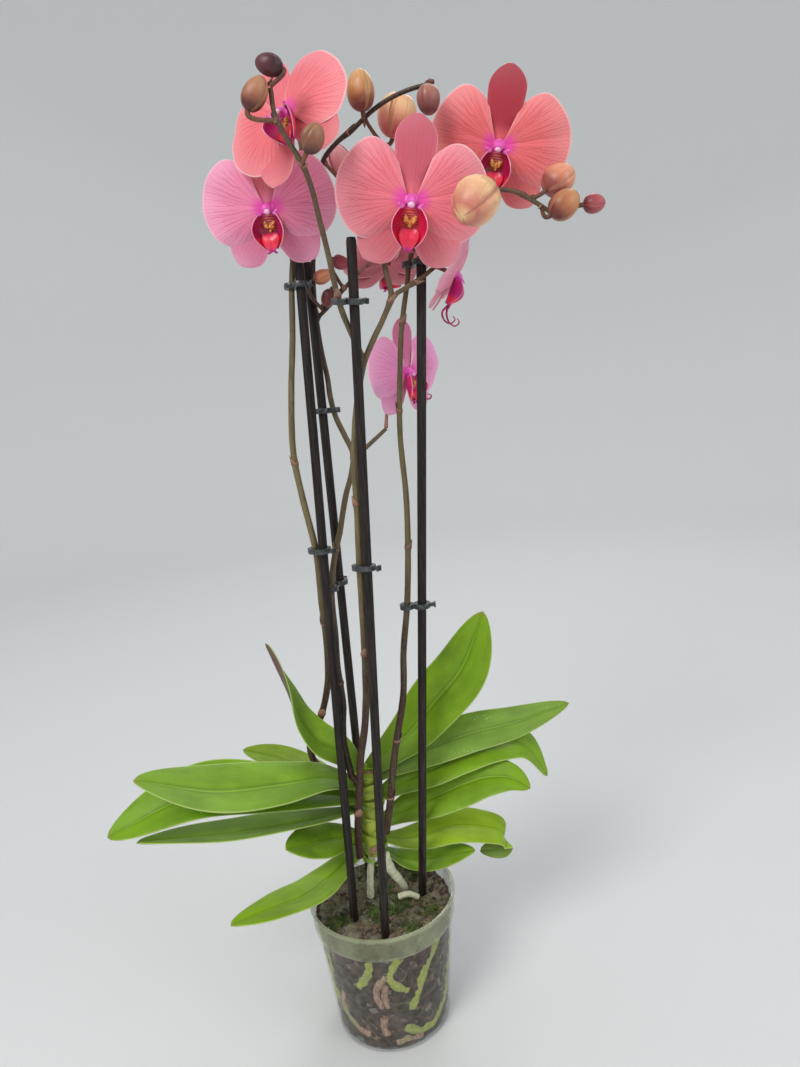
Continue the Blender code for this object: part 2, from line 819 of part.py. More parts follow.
def fan_grid(radii, low_angle, high_angle, rings, spokes, claw, dish):
    """A broad petal as rings about its claw; radii are read at even angles from low to high."""
    angles = np.linspace(math.radians(low_angle), math.radians(high_angle), spokes + 1)
    reach = smooth_path([(n, r, 0) for n, r in enumerate(radii)], 0.05)
    outer = np.interp(np.linspace(0, len(radii) - 1, spokes + 1), reach[:, 0], reach[:, 1])
    grid = np.zeros((rings + 1, spokes + 1, 3))
    for ring in range(rings + 1):
        share = ring / rings
        radius = claw + (outer - claw) * share
        grid[ring, :, 0] = radius * np.cos(angles)
        grid[ring, :, 1] = radius * np.sin(angles)
        grid[ring, :, 2] = dish * share**2
    return grid


def sepal_grid(length, width, rows, columns, bend):
    """A sepal along +Y with its base at the origin, widest at seven tenths of its length."""
    grid = np.zeros((rows + 1, columns + 1, 3))
    for row in range(rows + 1):
        along = row / rows
        rounded = 0.3 + 0.7 * math.sin(math.pi / 2 * along / 0.7) if along < 0.7 else tip_width(along)
        half = width / 2 * rounded
        for column in range(columns + 1):
            across = 2 * column / columns - 1
            grid[row, column] = (across * half, along * length, bend * along**2)
    return grid


def tip_width(along):
    """The rounded end of a sepal, from full width at seven tenths to a blunt tip."""
    return max(0.3, max(0.0, 1.0 - ((along - 0.7) / 0.3) ** 2) ** 0.7)


def moved(grid, matrix):
    flat = grid.reshape(-1, 3) @ np.array(matrix.to_3x3()).T + np.array(matrix.translation)
    return flat.reshape(grid.shape)


def bloom_grids():
    """The tepals of a 90 mm flower that faces +Z with its dorsal sepal along +Y."""
    petal = fan_grid(PETAL_RADII, PETAL_LOW_ANGLE, PETAL_HIGH_ANGLE, 3, 5, PETAL_CLAW, PETAL_DISH)
    right = moved(petal, Matrix.Translation((2, 1, 0.8)))
    left = right[:, ::-1] * np.array((-1, 1, 1))
    dorsal_shape = sepal_grid(DORSAL_LENGTH, DORSAL_WIDTH, 4, 2, TEPAL_SWEEP)
    dorsal = moved(dorsal_shape, Matrix.Translation((0, 1, -SEPAL_SETBACK)))
    grids = [right, left, dorsal]
    side_shape = sepal_grid(SIDE_SEPAL_LENGTH, SIDE_SEPAL_WIDTH, 4, 2, TEPAL_SWEEP)
    for turn in (-SIDE_SEPAL_TURN, SIDE_SEPAL_TURN):
        place = Matrix.Translation((0, -1, -SEPAL_SETBACK)) @ Matrix.Rotation(math.radians(turn), 4, "Z")
        grids.append(moved(side_shape, place))
    return grids


def lip_grid():
    """The lip, an open cup below the column."""
    rows, columns = 3, 4
    grid = np.zeros((rows + 1, columns + 1, 3))
    for row in range(rows + 1):
        down = row / rows
        for column in range(columns + 1):
            turn = math.pi * (column / columns - 0.5)
            half = LIP_HALF_WIDTH * math.sin(math.pi * (0.12 + 0.8 * down)) ** 0.7
            depth = LIP_HALF_WIDTH * math.sin(math.pi * (0.15 + 0.75 * down))
            grid[row, column] = (
                half * math.sin(turn),
                -2.0 - LIP_LENGTH * down,
                1.5 + depth * (1.0 - math.cos(turn)) + 3.0 * down,
            )
    return grid


def flower_frame(facing, roll):
    """Local +Z faces out of the flower and local +Y is its dorsal side."""
    turn = Matrix.Rotation(math.radians(facing[0]), 4, "Z")
    tilt = Matrix.Rotation(math.radians(90 - facing[1]), 4, "X")
    spin = Matrix.Rotation(math.radians(roll), 4, "Z")
    return turn @ tilt @ spin


def stalk_path(start, heading, joint, clearance):
    """A stalk that leaves along a heading and bends to a joint, stopping short of the joint's stem."""
    start, joint = Vector(start), Vector(joint)
    bend = start + Vector(heading).normalized() * (joint - start).length * 0.45
    end = joint + (bend - joint).normalized() * clearance
    steps = 4
    points = []
    for step in range(steps + 1):
        t = step / steps
        points.append(start * (1 - t) ** 2 + bend * 2 * t * (1 - t) + end * t**2)
    return points


def scaled_mesh(mesh, matrix):
    mesh.transform(Matrix.Translation(matrix.translation * MM) @ matrix.to_3x3().to_4x4())
    return mesh


def build_flowers():
    for name, flower in FLOWERS.items():
        frame = flower_frame(flower.facing, flower.roll) @ Matrix.Scale(flower.size, 4)
        shells = [ellipsoid_mesh((0, 0, 0), HEART_RADII, 6, 4)]
        shells += [sheet_mesh(grid, TEPAL_THICKNESS) for grid in bloom_grids() + [lip_grid()]]
        shells.append(tube_mesh([(0, 1, 0), (0, 1, COLUMN_LENGTH)], *COLUMN_RADII))
        shells = [scaled_mesh(mesh, frame) for mesh in shells]
        back = frame @ Vector((0, 0, -1))
        away = frame.to_3x3() @ Vector((0, 0, -1))
        joint = Vector(flower.joint) - Vector(flower.middle)
        stalk = stalk_path(back, away, joint, FLOWER_STALK_GAP)
        shells.append(tube_mesh(stalk, PEDICEL_RADIUS + PEDICEL_SWELL, PEDICEL_RADIUS))
        bloom = fused(name, shells, petal_coral())
        bloom.location = Vector(planted([flower.middle])[0]) * MM


def build_buds():
    for name, bud in BUDS.items():
        tip = Vector(bud.tip).normalized()
        turn = tip.to_track_quat("Z", "Y").to_matrix().to_4x4()
        body = ellipsoid_mesh((0, 0, 0), (bud.width / 2, bud.width / 2, bud.length / 2), turn=turn)
        start = -tip * (bud.length / 2 - BUD_STALK_OVERLAP)
        joint = Vector(bud.joint) - Vector(bud.middle)
        stalk = stalk_path(start, -tip, joint, BUD_STALK_GAP)
        whole = fused(name, [body, tube_mesh(stalk, PEDICEL_RADIUS, PEDICEL_RADIUS)], bud_skin())
        whole.location = Vector(planted([bud.middle])[0]) * MM


def main():
    reset_scene()
    build_pot()
    build_medium()
    build_stakes()
    build_crown()
    build_roots()
    build_leaves()
    build_stems()
    build_clips()
    build_flowers()
    build_buds()


main()
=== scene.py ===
"""The looks of a potted moth orchid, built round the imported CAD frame. The tables and the shape
functions are in millimetres. Meshes are made in metres, and every piece that stands for a CAD node
takes its place from that node's box."""

import math
from typing import NamedTuple

import bpy
import numpy as np
from mathutils import Matrix, Vector


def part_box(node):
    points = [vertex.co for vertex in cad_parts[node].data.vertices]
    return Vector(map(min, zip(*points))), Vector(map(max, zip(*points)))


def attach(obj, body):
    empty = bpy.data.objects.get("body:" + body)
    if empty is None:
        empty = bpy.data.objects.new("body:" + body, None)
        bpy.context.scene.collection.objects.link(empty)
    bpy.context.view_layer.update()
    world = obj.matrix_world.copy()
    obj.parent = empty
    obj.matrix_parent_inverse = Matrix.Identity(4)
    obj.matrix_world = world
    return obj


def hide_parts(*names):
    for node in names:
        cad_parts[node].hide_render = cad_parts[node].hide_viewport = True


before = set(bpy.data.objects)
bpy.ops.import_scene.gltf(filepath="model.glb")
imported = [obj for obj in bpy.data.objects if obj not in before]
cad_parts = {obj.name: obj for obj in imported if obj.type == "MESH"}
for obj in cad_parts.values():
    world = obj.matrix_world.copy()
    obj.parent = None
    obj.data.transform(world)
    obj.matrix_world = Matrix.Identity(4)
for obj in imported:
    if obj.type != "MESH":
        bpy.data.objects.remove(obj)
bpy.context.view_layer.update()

MM = 0.001
rng = np.random.default_rng(20)

# Pot
POT_HEIGHT = 112.0
POT_RIM_RADIUS = 60.0
POT_BAND_RADIUS = 58.5
POT_BAND_HEIGHT = 19.0
POT_BASE_RADIUS = 47.0
POT_WALL = 1.2
POT_FLOOR = 2.0
POT_STEP = 2.0
POT_LIP_HEIGHT = 3.0
POT_BAND_FLARE = 0.5
DRAIN_HOLES = 6
DRAIN_HOLE_RADIUS = 4.0
DRAIN_CIRCLE_RADIUS = 30.0
MEDIUM_TOP = 103.0
MEDIUM_INSET = POT_WALL + 0.6
SURFACE_CHIPS = 170
WALL_CHIPS = 420
SURFACE_THREADS = 130
WALL_THREADS = 120
MOSS_BLADES = 90

# Plant
CROWN_PATH = [(-2.0, 2.0, 146.0), (-2.5, 2.5, 180.0), (-3.0, 3.0, 212.0)]
CROWN_RADIUS = 8.0
CROWN_AXIS = (-2.4, 2.4)
LEAF_THICKNESS = 1.7
SHEATH_WRAP = 112
TEPAL_THICKNESS = 0.8
STAKE_RADIUS = 3.3
CLIP_HEIGHT = 4.0

# Flower, for a 90 mm bloom: a petal's radius about its claw at even steps of its outline, each
# sepal's length and width, and the lip. Then what a stalk stops short of its joint in the CAD.
PETAL_RADII = (24, 36.5, 42.5, 45.7, 46.3, 45.6, 43, 27)
PETAL_STEP = 12.0
PETAL_LOW_ANGLE = -58
PETAL_HIGH_ANGLE = 70
DORSAL_SEPAL = (49, 26)
SIDE_SEPAL = (44, 28)
SIDE_SEPAL_TURN = 140
SEPAL_BEND = -4.0
LIP_LENGTH = 24.0
LIP_REACH = 11.0
FLOWER_STALK_GAP = 4.5
BUD_STALK_GAP = 4.0

# Camera, in metres and degrees, with its lens in millimetres
CAMERA_PLACE = (0.043, -0.566, 0.523)
CAMERA_PITCH = -11.4
CAMERA_ROLL = -5.5
CAMERA_LENS = 26.0


class Leaf(NamedTuple):
    """A blade: spine points from base to tip, full width, roll at the base and at the tip (degrees,
    positive lowers the front edge), fold of each half up from the midrib, and where it is widest."""

    spine: list
    width: float
    roll: tuple
    fold: float
    widest: float = 0.55


class Stem(NamedTuple):
    """A spike or side branch: its route, and its radius at the foot and at the end."""

    route: list
    foot_radius: float
    end_radius: float


class Flower(NamedTuple):
    """An open flower: its middle, where it faces (degrees right of -Y, degrees above level), its roll
    (degrees, anticlockwise seen from its front), its size against a 90 mm bloom, and its stalk's joint."""

    middle: tuple
    facing: tuple
    roll: float
    size: float
    joint: tuple


class Bud(NamedTuple):
    """A bud: its middle, the way its tip points, its length and width, and its stalk's joint."""

    middle: tuple
    tip: tuple
    length: float
    width: float
    joint: tuple


LEAVES = {
    "leaf_left_1": Leaf([
        (-14, 3, 208), (-34, -3, 217), (-67, -13, 221), (-114, -25, 227), (-170, -42, 252),
    ], 54, (15, 15), 10),
    "leaf_left_2": Leaf([
        (-14, 3, 195), (-45, 0, 203), (-87, -5, 213), (-128, -12, 220), (-201, -32, 202),
    ], 52, (20, 30), 14),
    "leaf_left_3": Leaf([
        (-14, 5, 182), (-34, 0, 182), (-68, -12, 185), (-112, -22, 188), (-179, -34, 196),
    ], 40, (-2, -8), 14),
    "leaf_left_4": Leaf([
        (-12, 4, 158), (-28, 1, 161), (-44, -8, 165), (-58, -20, 170), (-68, -30, 176),
    ], 36, (20, 15), 10),
    "leaf_left_5": Leaf([
        (-11, 4, 146), (-24, 8, 136), (-42, -6, 130), (-58, -28, 132), (-79, -46, 137),
        (-109, -64, 140),
    ], 40, (25, 30), 8),
    "leaf_left_6": Leaf([
        (-12, 8, 186), (-28, 25, 190), (-52, 40, 200), (-80, 50, 212), (-110, 52, 222),
    ], 28, (20, 20), 10),
    "leaf_left_7": Leaf([
        (-9, 4, 219), (-20, 4, 235), (-37, 6, 246), (-49, 8, 262), (-58, 12, 290), (-72, 22, 326),
    ], 28, (70, -40), 20, 0.3),
    "leaf_right_1": Leaf([
        (1, 12, 215), (18, 18, 226), (38, 22, 241), (58, 22, 263), (78, 20, 285), (101, 6, 340),
    ], 46, (60, 75), 8),
    "leaf_right_2": Leaf([
        (7, 14, 207), (27, 22, 213), (55, 28, 221), (84, 30, 228), (121, 30, 234), (168, 26, 249),
    ], 34, (35, 45), 10, 0.4),
    "leaf_right_3": Leaf([
        (8, 9, 192), (25, 17, 196), (50, 22, 202), (76, 26, 211), (103, 28, 217), (126, 29, 214),
        (147, 27, 184),
    ], 38, (40, 20), 12),
    "leaf_right_4": Leaf([
        (8, 7, 170), (22, 15, 172), (47, 18, 179), (74, 16, 190), (96, 12, 197), (114, 7, 197),
        (128, 1, 190),
    ], 38, (45, 30), 12),
    "leaf_right_5": Leaf([
        (9, 5, 154), (22, 13, 146), (42, 19, 144), (63, 22, 147), (88, 24, 143), (107, 25, 134),
        (105, 28, 122), (87, 31, 116),
    ], 34, (35, 20), 8),
    "leaf_right_6": Leaf([
        (6, 6, 144), (18, 14, 130), (37, 19, 123), (58, 16, 127), (80, 8, 135),
    ], 26, (30, 30), 8),
}

# Axis points at the medium's surface and at the top.
STAKES = {
    "stake_1": ((-23, -19, MEDIUM_TOP), (-8, -14, 607)),
    "stake_2": ((2, -42, MEDIUM_TOP), (30, -47, 613)),
    "stake_3": ((33, 3, MEDIUM_TOP), (75, -24, 601)),
    "stake_4": ((-11, 25, MEDIUM_TOP), (-4, 10, 609)),
}

STEMS = {
    "spike_a": Stem(
        [
            (-11, 14, 198), (-24, 22, 203), (-42, 22, 214), (-48, 22, 229), (-36, 22, 258),
            (-27, 15, 286), (-22, 4, 327), (-21, -6, 365), (-20, -12, 404), (-24, -16, 440),
            (-27, -18, 475), (-24, -17, 515), (-18, -14, 560), (-15, -11, 592), (-10, -5, 625),
            (-7, -2, 660),
        ],
        2.9,
        1.9,
    ),
    "spike_b": Stem(
        [
            (-13, -11, 222), (-16, -10, 254), (-13, -10, 285), (-14, -11, 310), (-13, -8, 340),
            (-13, -2, 368), (-9, 4, 392), (-2, 7, 414), (5, 9, 440), (11, 9, 456), (14, 8, 468),
            (9, 10, 485), (2, 12, 506), (1, 16, 523), (-2, 20, 548), (-3, 20, 570), (-2, 18, 598),
            (1, 14, 618), (6, 8, 640), (13, 0, 663), (18, -8, 675), (31, -12, 682), (45, -18, 690),
            (58, -22, 698), (75, -27, 701), (85, -31, 705), (90, -34, 702),
        ],
        2.7,
        1.4,
    ),
    "spike_c": Stem(
        [
            (-14, -9, 150), (-13, -11, 172), (-10, -13, 195), (-7, -14, 217), (-4, -16, 238),
            (2, -22, 265), (6, -28, 291), (9, -35, 325), (11.5, -41, 370), (12.5, -41.5, 394),
            (15, -41, 435), (17, -39, 475), (23, -36, 511), (31, -36, 537), (43, -38, 558),
            (52, -40, 574), (50, -41, 592), (50, -38, 606),
        ],
        3.1,
        1.8,
    ),
    "spike_e": Stem(
        [
            (9, -7, 168), (14, -9, 191), (18, -10, 214), (24, -10, 244), (34, -9, 287), (37, -9, 319),
            (43, -10, 355), (47, -9, 390), (50, -9, 435), (50, -10, 486), (54, -12, 528),
            (58, -14, 558), (64, -17, 584), (68, -17, 602), (82, -22, 622), (96, -32, 631),
            (112, -38, 635), (127, -45, 633), (143, -49, 628), (152, -50, 619), (160, -50, 614),
        ],
        2.9,
        1.4,
    ),
    "branch_d": Stem([(18, 9, 470), (29, 13, 478), (40, 20, 486)], 1.8, 1.4),
    "branch_f": Stem([(56, -39, 577), (66, -36, 582), (76, -33, 587), (82, -25, 592)], 1.6, 1.4),
    "branch_g": Stem(
        [
            (27, -38, 545), (24, -41, 554), (21, -46, 562), (18, -55, 577), (16, -66, 597),
            (13, -75, 620), (8, -84, 647), (0, -87, 663), (-5, -87, 675), (-6, -86, 690),
        ],
        2.0,
        1.4,
    ),
    "branch_k": Stem([(0, 15, 572), (7, 9, 577), (14, 6, 582), (21, 6, 589), (31, 8, 598)], 1.5, 1.4),
}

# Clip: the stake and the stem that it holds, and its height.
CLIPS = {
    "clip_1": ("stake_1", "spike_a", 591),
    "clip_2": ("stake_1", "spike_a", 405),
    "clip_3": ("stake_4", "spike_b", 504),
    "clip_4": ("stake_4", "spike_b", 372),
    "clip_5": ("stake_2", "branch_g", 574),
    "clip_6": ("stake_2", "spike_c", 396),
    "clip_7": ("stake_3", "spike_e", 355),
    "clip_8": ("stake_3", "spike_e", 597),
}

FLOWERS = {
    "flower_1": Flower((-2, -59, 683), (-30, 18), 26, 0.92, (-7, -3, 658)),
    "flower_2": Flower((-22, -31, 638), (-5, -10), 0, 0.93, (-11, -6, 618)),
    "flower_3": Flower((70, -61, 628), (-3, -10), -10, 1.0, (50, -38, 608)),
    "flower_4": Flower((132, -25, 664), (-12, -14), -14, 0.96, (112, -38, 635)),
    "flower_5": Flower((98, -6, 589), (82, -33), 0, 0.75, (83, -24, 593)),
    "flower_6": Flower((61, 27, 526), (45, -4), 2, 0.8, (41, 21, 487)),
    "flower_7": Flower((54, 24, 604), (165, -44), 3, 0.73, (31, 8, 598)),
}

BUDS = {
    "bud_01": Bud((-5, -86, 702), (-3, 0, 1), 16, 12, (-6, -86, 691)),
    "bud_02": Bud((-15, -89, 687), (2, 0, 3), 20, 14, (-4, -87, 673)),
    "bud_03": Bud((15, -92, 660), (2, -1, 3), 17, 14, (7, -84, 648)),
    "bud_04": Bud((45, -25, 705), (0, 0, 1), 25, 18, (45, -18, 690)),
    "bud_05": Bud((87, -37, 692), (0, 0, -1), 18, 15, (91, -34, 703)),
    "bud_06": Bud((105, -88, 619), (-1, -1, -1), 31, 28, (118, -42, 635)),
    "bud_07": Bud((165, -44, 636), (3, 1, 2), 23, 20, (146, -50, 625)),
    "bud_08": Bud((163, -63, 617), (3, 0, 2), 21, 17, (152, -50, 619)),
    "bud_09": Bud((184, -54, 618), (1, 0, 0), 14, 12, (161, -50, 614)),
    "bud_10": Bud((20, -4, 605), (2, 0, -1), 12, 10, (20, 6, 588)),
    "bud_11": Bud((7, -8, 596), (3, 0, 1), 14, 10, (4, 12, 575)),
    "bud_12": Bud((9, -4, 582), (-1, 0, -2), 13, 10, (12, 7, 581)),
    "opening_bud_1": Bud((68, 2, 696), (1, -1, 3), 28, 24, (46, -18, 690)),
    "opening_bud_2": Bud((27, 12, 672), (-1, -1, 3), 24, 15, (16, -4, 670)),
}

# Route and the radius at the top and at the foot.
ROOTS = {
    "root_1": ([(-5, -1, 145), (-8, 0, 128), (-10, 2, 105.5)], 2.8, 3.0),
    "root_2": ([(5, -2, 145), (9, 0, 130), (16, 4, 115), (19, 8, 106)], 4.2, 2.8),
    "root_3": ([(14, -4, 107), (22, -6, 110), (30, -7, 107)], 2.6, 2.2),
}


# Where each branch joins the stem that bears it.
FORKS = {
    "spike_b": (-7, -14, 215),
    "branch_d": (14, 8, 467),
    "branch_f": (52, -40, 573),
    "branch_g": (30, -36, 538),
    "branch_k": (-3, 20, 569),
}

# Heights of the ringed joints with their dry sheaths, and which way each sheath faces (degrees).
JOINTS = {
    "spike_a": [(262, 200), (345, 120), (470, 250), (610, 80)],
    "spike_b": [(300, 200), (400, 60), (468, 330), (572, 300), (640, 120), (684, 90)],
    "spike_c": [(190, 220), (330, 250), (440, 80), (572, 240)],
    "spike_e": [(200, 300), (248, 280), (400, 250), (500, 100), (560, 250), (628, 300)],
    "branch_f": [(583, 250)],
    "branch_g": [(577, 300), (648, 250), (672, 200)],
    "branch_k": [(583, 60)],
}

# The usual leaf tint (linear), and those of the leaves that differ.
LEAF_TINT = (0.25, 0.46, 0.010)
LEAF_TINTS = {
    "leaf_left_3": (0.24, 0.44, 0.012),
    "leaf_left_6": (0.27, 0.44, 0.02),
    "leaf_left_7": (0.24, 0.44, 0.02),
    "leaf_left_1": (0.25, 0.47, 0.022),
    "leaf_right_2": (0.24, 0.42, 0.045),
    "leaf_right_5": (0.36, 0.57, 0.012),
    "leaf_left_5": (0.31, 0.53, 0.008),
    "leaf_left_2": (0.24, 0.47, 0.008),
    "leaf_left_4": (0.22, 0.40, 0.010),
}

# Petal tint, rim tint and vein tint (linear), dorsal sepal tint, lip tint.
FLOWER_TINTS = {
    "flower_1": (
        (0.93, 0.19, 0.22), (0.96, 0.38, 0.42), (0.60, 0.05, 0.09),
        (0.90, 0.20, 0.25), (0.62, 0.01, 0.16),
    ),
    "flower_2": (
        (0.93, 0.28, 0.46), (0.96, 0.50, 0.70), (0.52, 0.05, 0.16),
        (0.78, 0.20, 0.24), (0.46, 0.008, 0.09),
    ),
    "flower_3": (
        (0.93, 0.22, 0.27), (0.96, 0.42, 0.49), (0.58, 0.05, 0.10),
        (0.66, 0.13, 0.19), (0.70, 0.008, 0.07),
    ),
    "flower_4": (
        (0.92, 0.19, 0.20), (0.95, 0.40, 0.41), (0.55, 0.04, 0.07),
        (0.45, 0.035, 0.06), (0.48, 0.006, 0.07),
    ),
    "flower_5": (
        (0.90, 0.26, 0.38), (0.95, 0.50, 0.62), (0.50, 0.06, 0.15),
        (0.75, 0.22, 0.32), (0.60, 0.01, 0.22),
    ),
    "flower_6": (
        (0.94, 0.32, 0.60), (0.97, 0.55, 0.78), (0.60, 0.09, 0.30),
        (0.75, 0.20, 0.38), (0.70, 0.008, 0.16),
    ),
    # flower_7 hangs behind flower_3 and faces away. All its tints are darkened as painted shade.
    "flower_7": (
        (0.74, 0.20, 0.25), (0.86, 0.40, 0.46), (0.32, 0.03, 0.07),
        (0.40, 0.08, 0.10), (0.46, 0.02, 0.10),
    ),
}

# How far the lip's tendrils reach, against the longest.
TENDRILS = {"flower_5": 1.0, "flower_6": 0.35}

# Tint at the base, in the middle and at the tip, and how deep the seams between the sepals are.
BUD_TINTS = {
    "bud_01": ((0.040, 0.008, 0.010), (0.075, 0.012, 0.018), (0.13, 0.030, 0.035), 0.12),
    "bud_02": ((0.10, 0.016, 0.014), (0.36, 0.13, 0.07), (0.56, 0.28, 0.14), 0.08),
    "bud_03": ((0.08, 0.025, 0.018), (0.27, 0.10, 0.06), (0.40, 0.20, 0.10), 0.26),
    "bud_04": ((0.20, 0.040, 0.030), (0.52, 0.23, 0.085), (0.74, 0.42, 0.17), 0.06),
    "bud_05": ((0.46, 0.20, 0.13), (0.36, 0.12, 0.10), (0.16, 0.035, 0.04), 0.06),
    "bud_06": ((0.62, 0.27, 0.15), (0.95, 0.60, 0.31), (0.62, 0.17, 0.13), 0.13),
    "bud_07": ((0.34, 0.08, 0.07), (0.78, 0.29, 0.17), (0.86, 0.42, 0.26), 0.07),
    "bud_08": ((0.15, 0.030, 0.022), (0.48, 0.16, 0.07), (0.66, 0.31, 0.13), 0.07),
    "bud_09": ((0.16, 0.025, 0.03), (0.38, 0.060, 0.075), (0.52, 0.13, 0.13), 0.10),
    "bud_10": ((0.20, 0.03, 0.03), (0.28, 0.03, 0.055), (0.42, 0.06, 0.10), 0.08),
    "bud_11": ((0.30, 0.06, 0.04), (0.62, 0.20, 0.10), (0.76, 0.36, 0.17), 0.08),
    "bud_12": ((0.06, 0.012, 0.012), (0.12, 0.018, 0.02), (0.20, 0.03, 0.03), 0.10),
    "opening_bud_1": ((0.70, 0.10, 0.13), (0.92, 0.36, 0.24), (0.95, 0.62, 0.30), 0.22),
    "opening_bud_2": ((0.74, 0.16, 0.20), (0.90, 0.30, 0.32), (0.92, 0.44, 0.46), 0.20),
}


# ---------------------------------------------------------------- materials


class Look:
    """A Principled material whose node tree is written as nested calls."""

    def __init__(self, name, **plain):
        self.mat = bpy.data.materials.new(name)
        self.mat.use_nodes = True
        self.tree = self.mat.node_tree
        self.shader = self.tree.nodes["Principled BSDF"]
        for socket, value in plain.items():
            self.set(socket.replace("_", " "), value)

    def set(self, socket, value):
        self.feed(self.shader.inputs[socket], value)

    def feed(self, socket, value):
        if isinstance(value, bpy.types.NodeSocket):
            self.tree.links.new(value, socket)
        elif isinstance(value, tuple) and len(value) == 3 and socket.type == "RGBA":
            socket.default_value = (*value, 1.0)
        else:
            socket.default_value = value

    def node(self, kind, inputs, output=0, **settings):
        made = self.tree.nodes.new(kind)
        for key, value in settings.items():
            setattr(made, key, value)
        for key, value in inputs.items():
            self.feed(made.inputs[key], value)
        return made.outputs[output]

    def math(self, operation, a, b=0.0, c=0.0, clamp=False):
        return self.node("ShaderNodeMath", {0: a, 1: b, 2: c}, operation=operation, use_clamp=clamp)

    def times(self, a, b):
        return self.math("MULTIPLY", a, b)

    def plus(self, a, b):
        return self.math("ADD", a, b)

    def from_middle(self, across):
        """How far a point is from a piece's middle line, 0 to 0.5."""
        return self.math("ABSOLUTE", self.math("SUBTRACT", across, 0.5))

    def height(self):
        """The height over the pot's foot, in metres."""
        split = self.tree.nodes.new("ShaderNodeSeparateXYZ")
        self.feed(split.inputs[0], self.node("ShaderNodeTexCoord", {}, "Object"))
        return split.outputs[2]

    def place(self, stretch=(1.0, 1.0, 1.0)):
        """The point in the row frame, in metres, stretched."""
        where = self.node("ShaderNodeTexCoord", {}, "Object")
        return self.node("ShaderNodeMapping", {"Vector": where, "Scale": stretch})

    def uv(self):
        """The two coordinates along and across a piece."""
        split = self.tree.nodes.new("ShaderNodeSeparateXYZ")
        self.feed(split.inputs[0], self.node("ShaderNodeUVMap", {}, uv_map="UVMap"))
        return split.outputs[0], split.outputs[1]

    def stretch_uv(self, along, across):
        where = self.node("ShaderNodeUVMap", {}, uv_map="UVMap")
        return self.node("ShaderNodeMapping", {"Vector": where, "Scale": (along, across, 1.0)})

    def noise(self, where, scale, detail=3.0, rough=0.55, distortion=0.0):
        inputs = {"Vector": where, "Scale": scale, "Detail": detail, "Roughness": rough}
        return self.node("ShaderNodeTexNoise", {**inputs, "Distortion": distortion})

    def cells(self, where, scale, feature="F1"):
        return self.node("ShaderNodeTexVoronoi", {"Vector": where, "Scale": scale}, feature=feature)

    def remap(self, value, low, high, to_low=0.0, to_high=1.0):
        inputs = {"Value": value, "From Min": low, "From Max": high, "To Min": to_low, "To Max": to_high}
        return self.node("ShaderNodeMapRange", inputs, interpolation_type="SMOOTHSTEP")

    def mix(self, share, a, b, blend="MIX"):
        inputs = {0: share, 6: a, 7: b}
        return self.node("ShaderNodeMix", inputs, 2, data_type="RGBA", blend_type=blend)

    def ramp(self, share, stops):
        node = self.tree.nodes.new("ShaderNodeValToRGB")
        self.feed(node.inputs[0], share)
        elements = node.color_ramp.elements
        while len(elements) < len(stops):
            elements.new(0.5)
        for element, (at, colour) in zip(elements, stops):
            element.position = at
            element.color = (*colour, 1.0)
        return node.outputs[0]

    def lines(self, across, count, width, wobble, depth):
        """Thin lines at even steps of a coordinate, 1 on the line and 0 between."""
        shifted = self.math("MULTIPLY_ADD", wobble, depth, across)
        part = self.math("FRACT", self.math("MULTIPLY", shifted, count))
        away = self.math("ABSOLUTE", self.math("SUBTRACT", part, 0.5))
        return self.remap(away, 0.0, width, 1.0, 0.0)

    def finished(self, colour, rough, relief=None, strength=0.0, distance=0.0):
        """The material, with its colour, its roughness and its fine relief."""
        self.set("Base Color", colour)
        self.set("Roughness", rough)
        if relief is not None:
            inputs = {"Height": relief, "Strength": strength, "Distance": distance}
            self.set("Normal", self.node("ShaderNodeBump", inputs))
        return self.mat


def tinted(tint, share, more=0.0):
    """A darker or lighter copy of a tint."""
    return tuple(min(1.0, share * part + more) for part in tint)


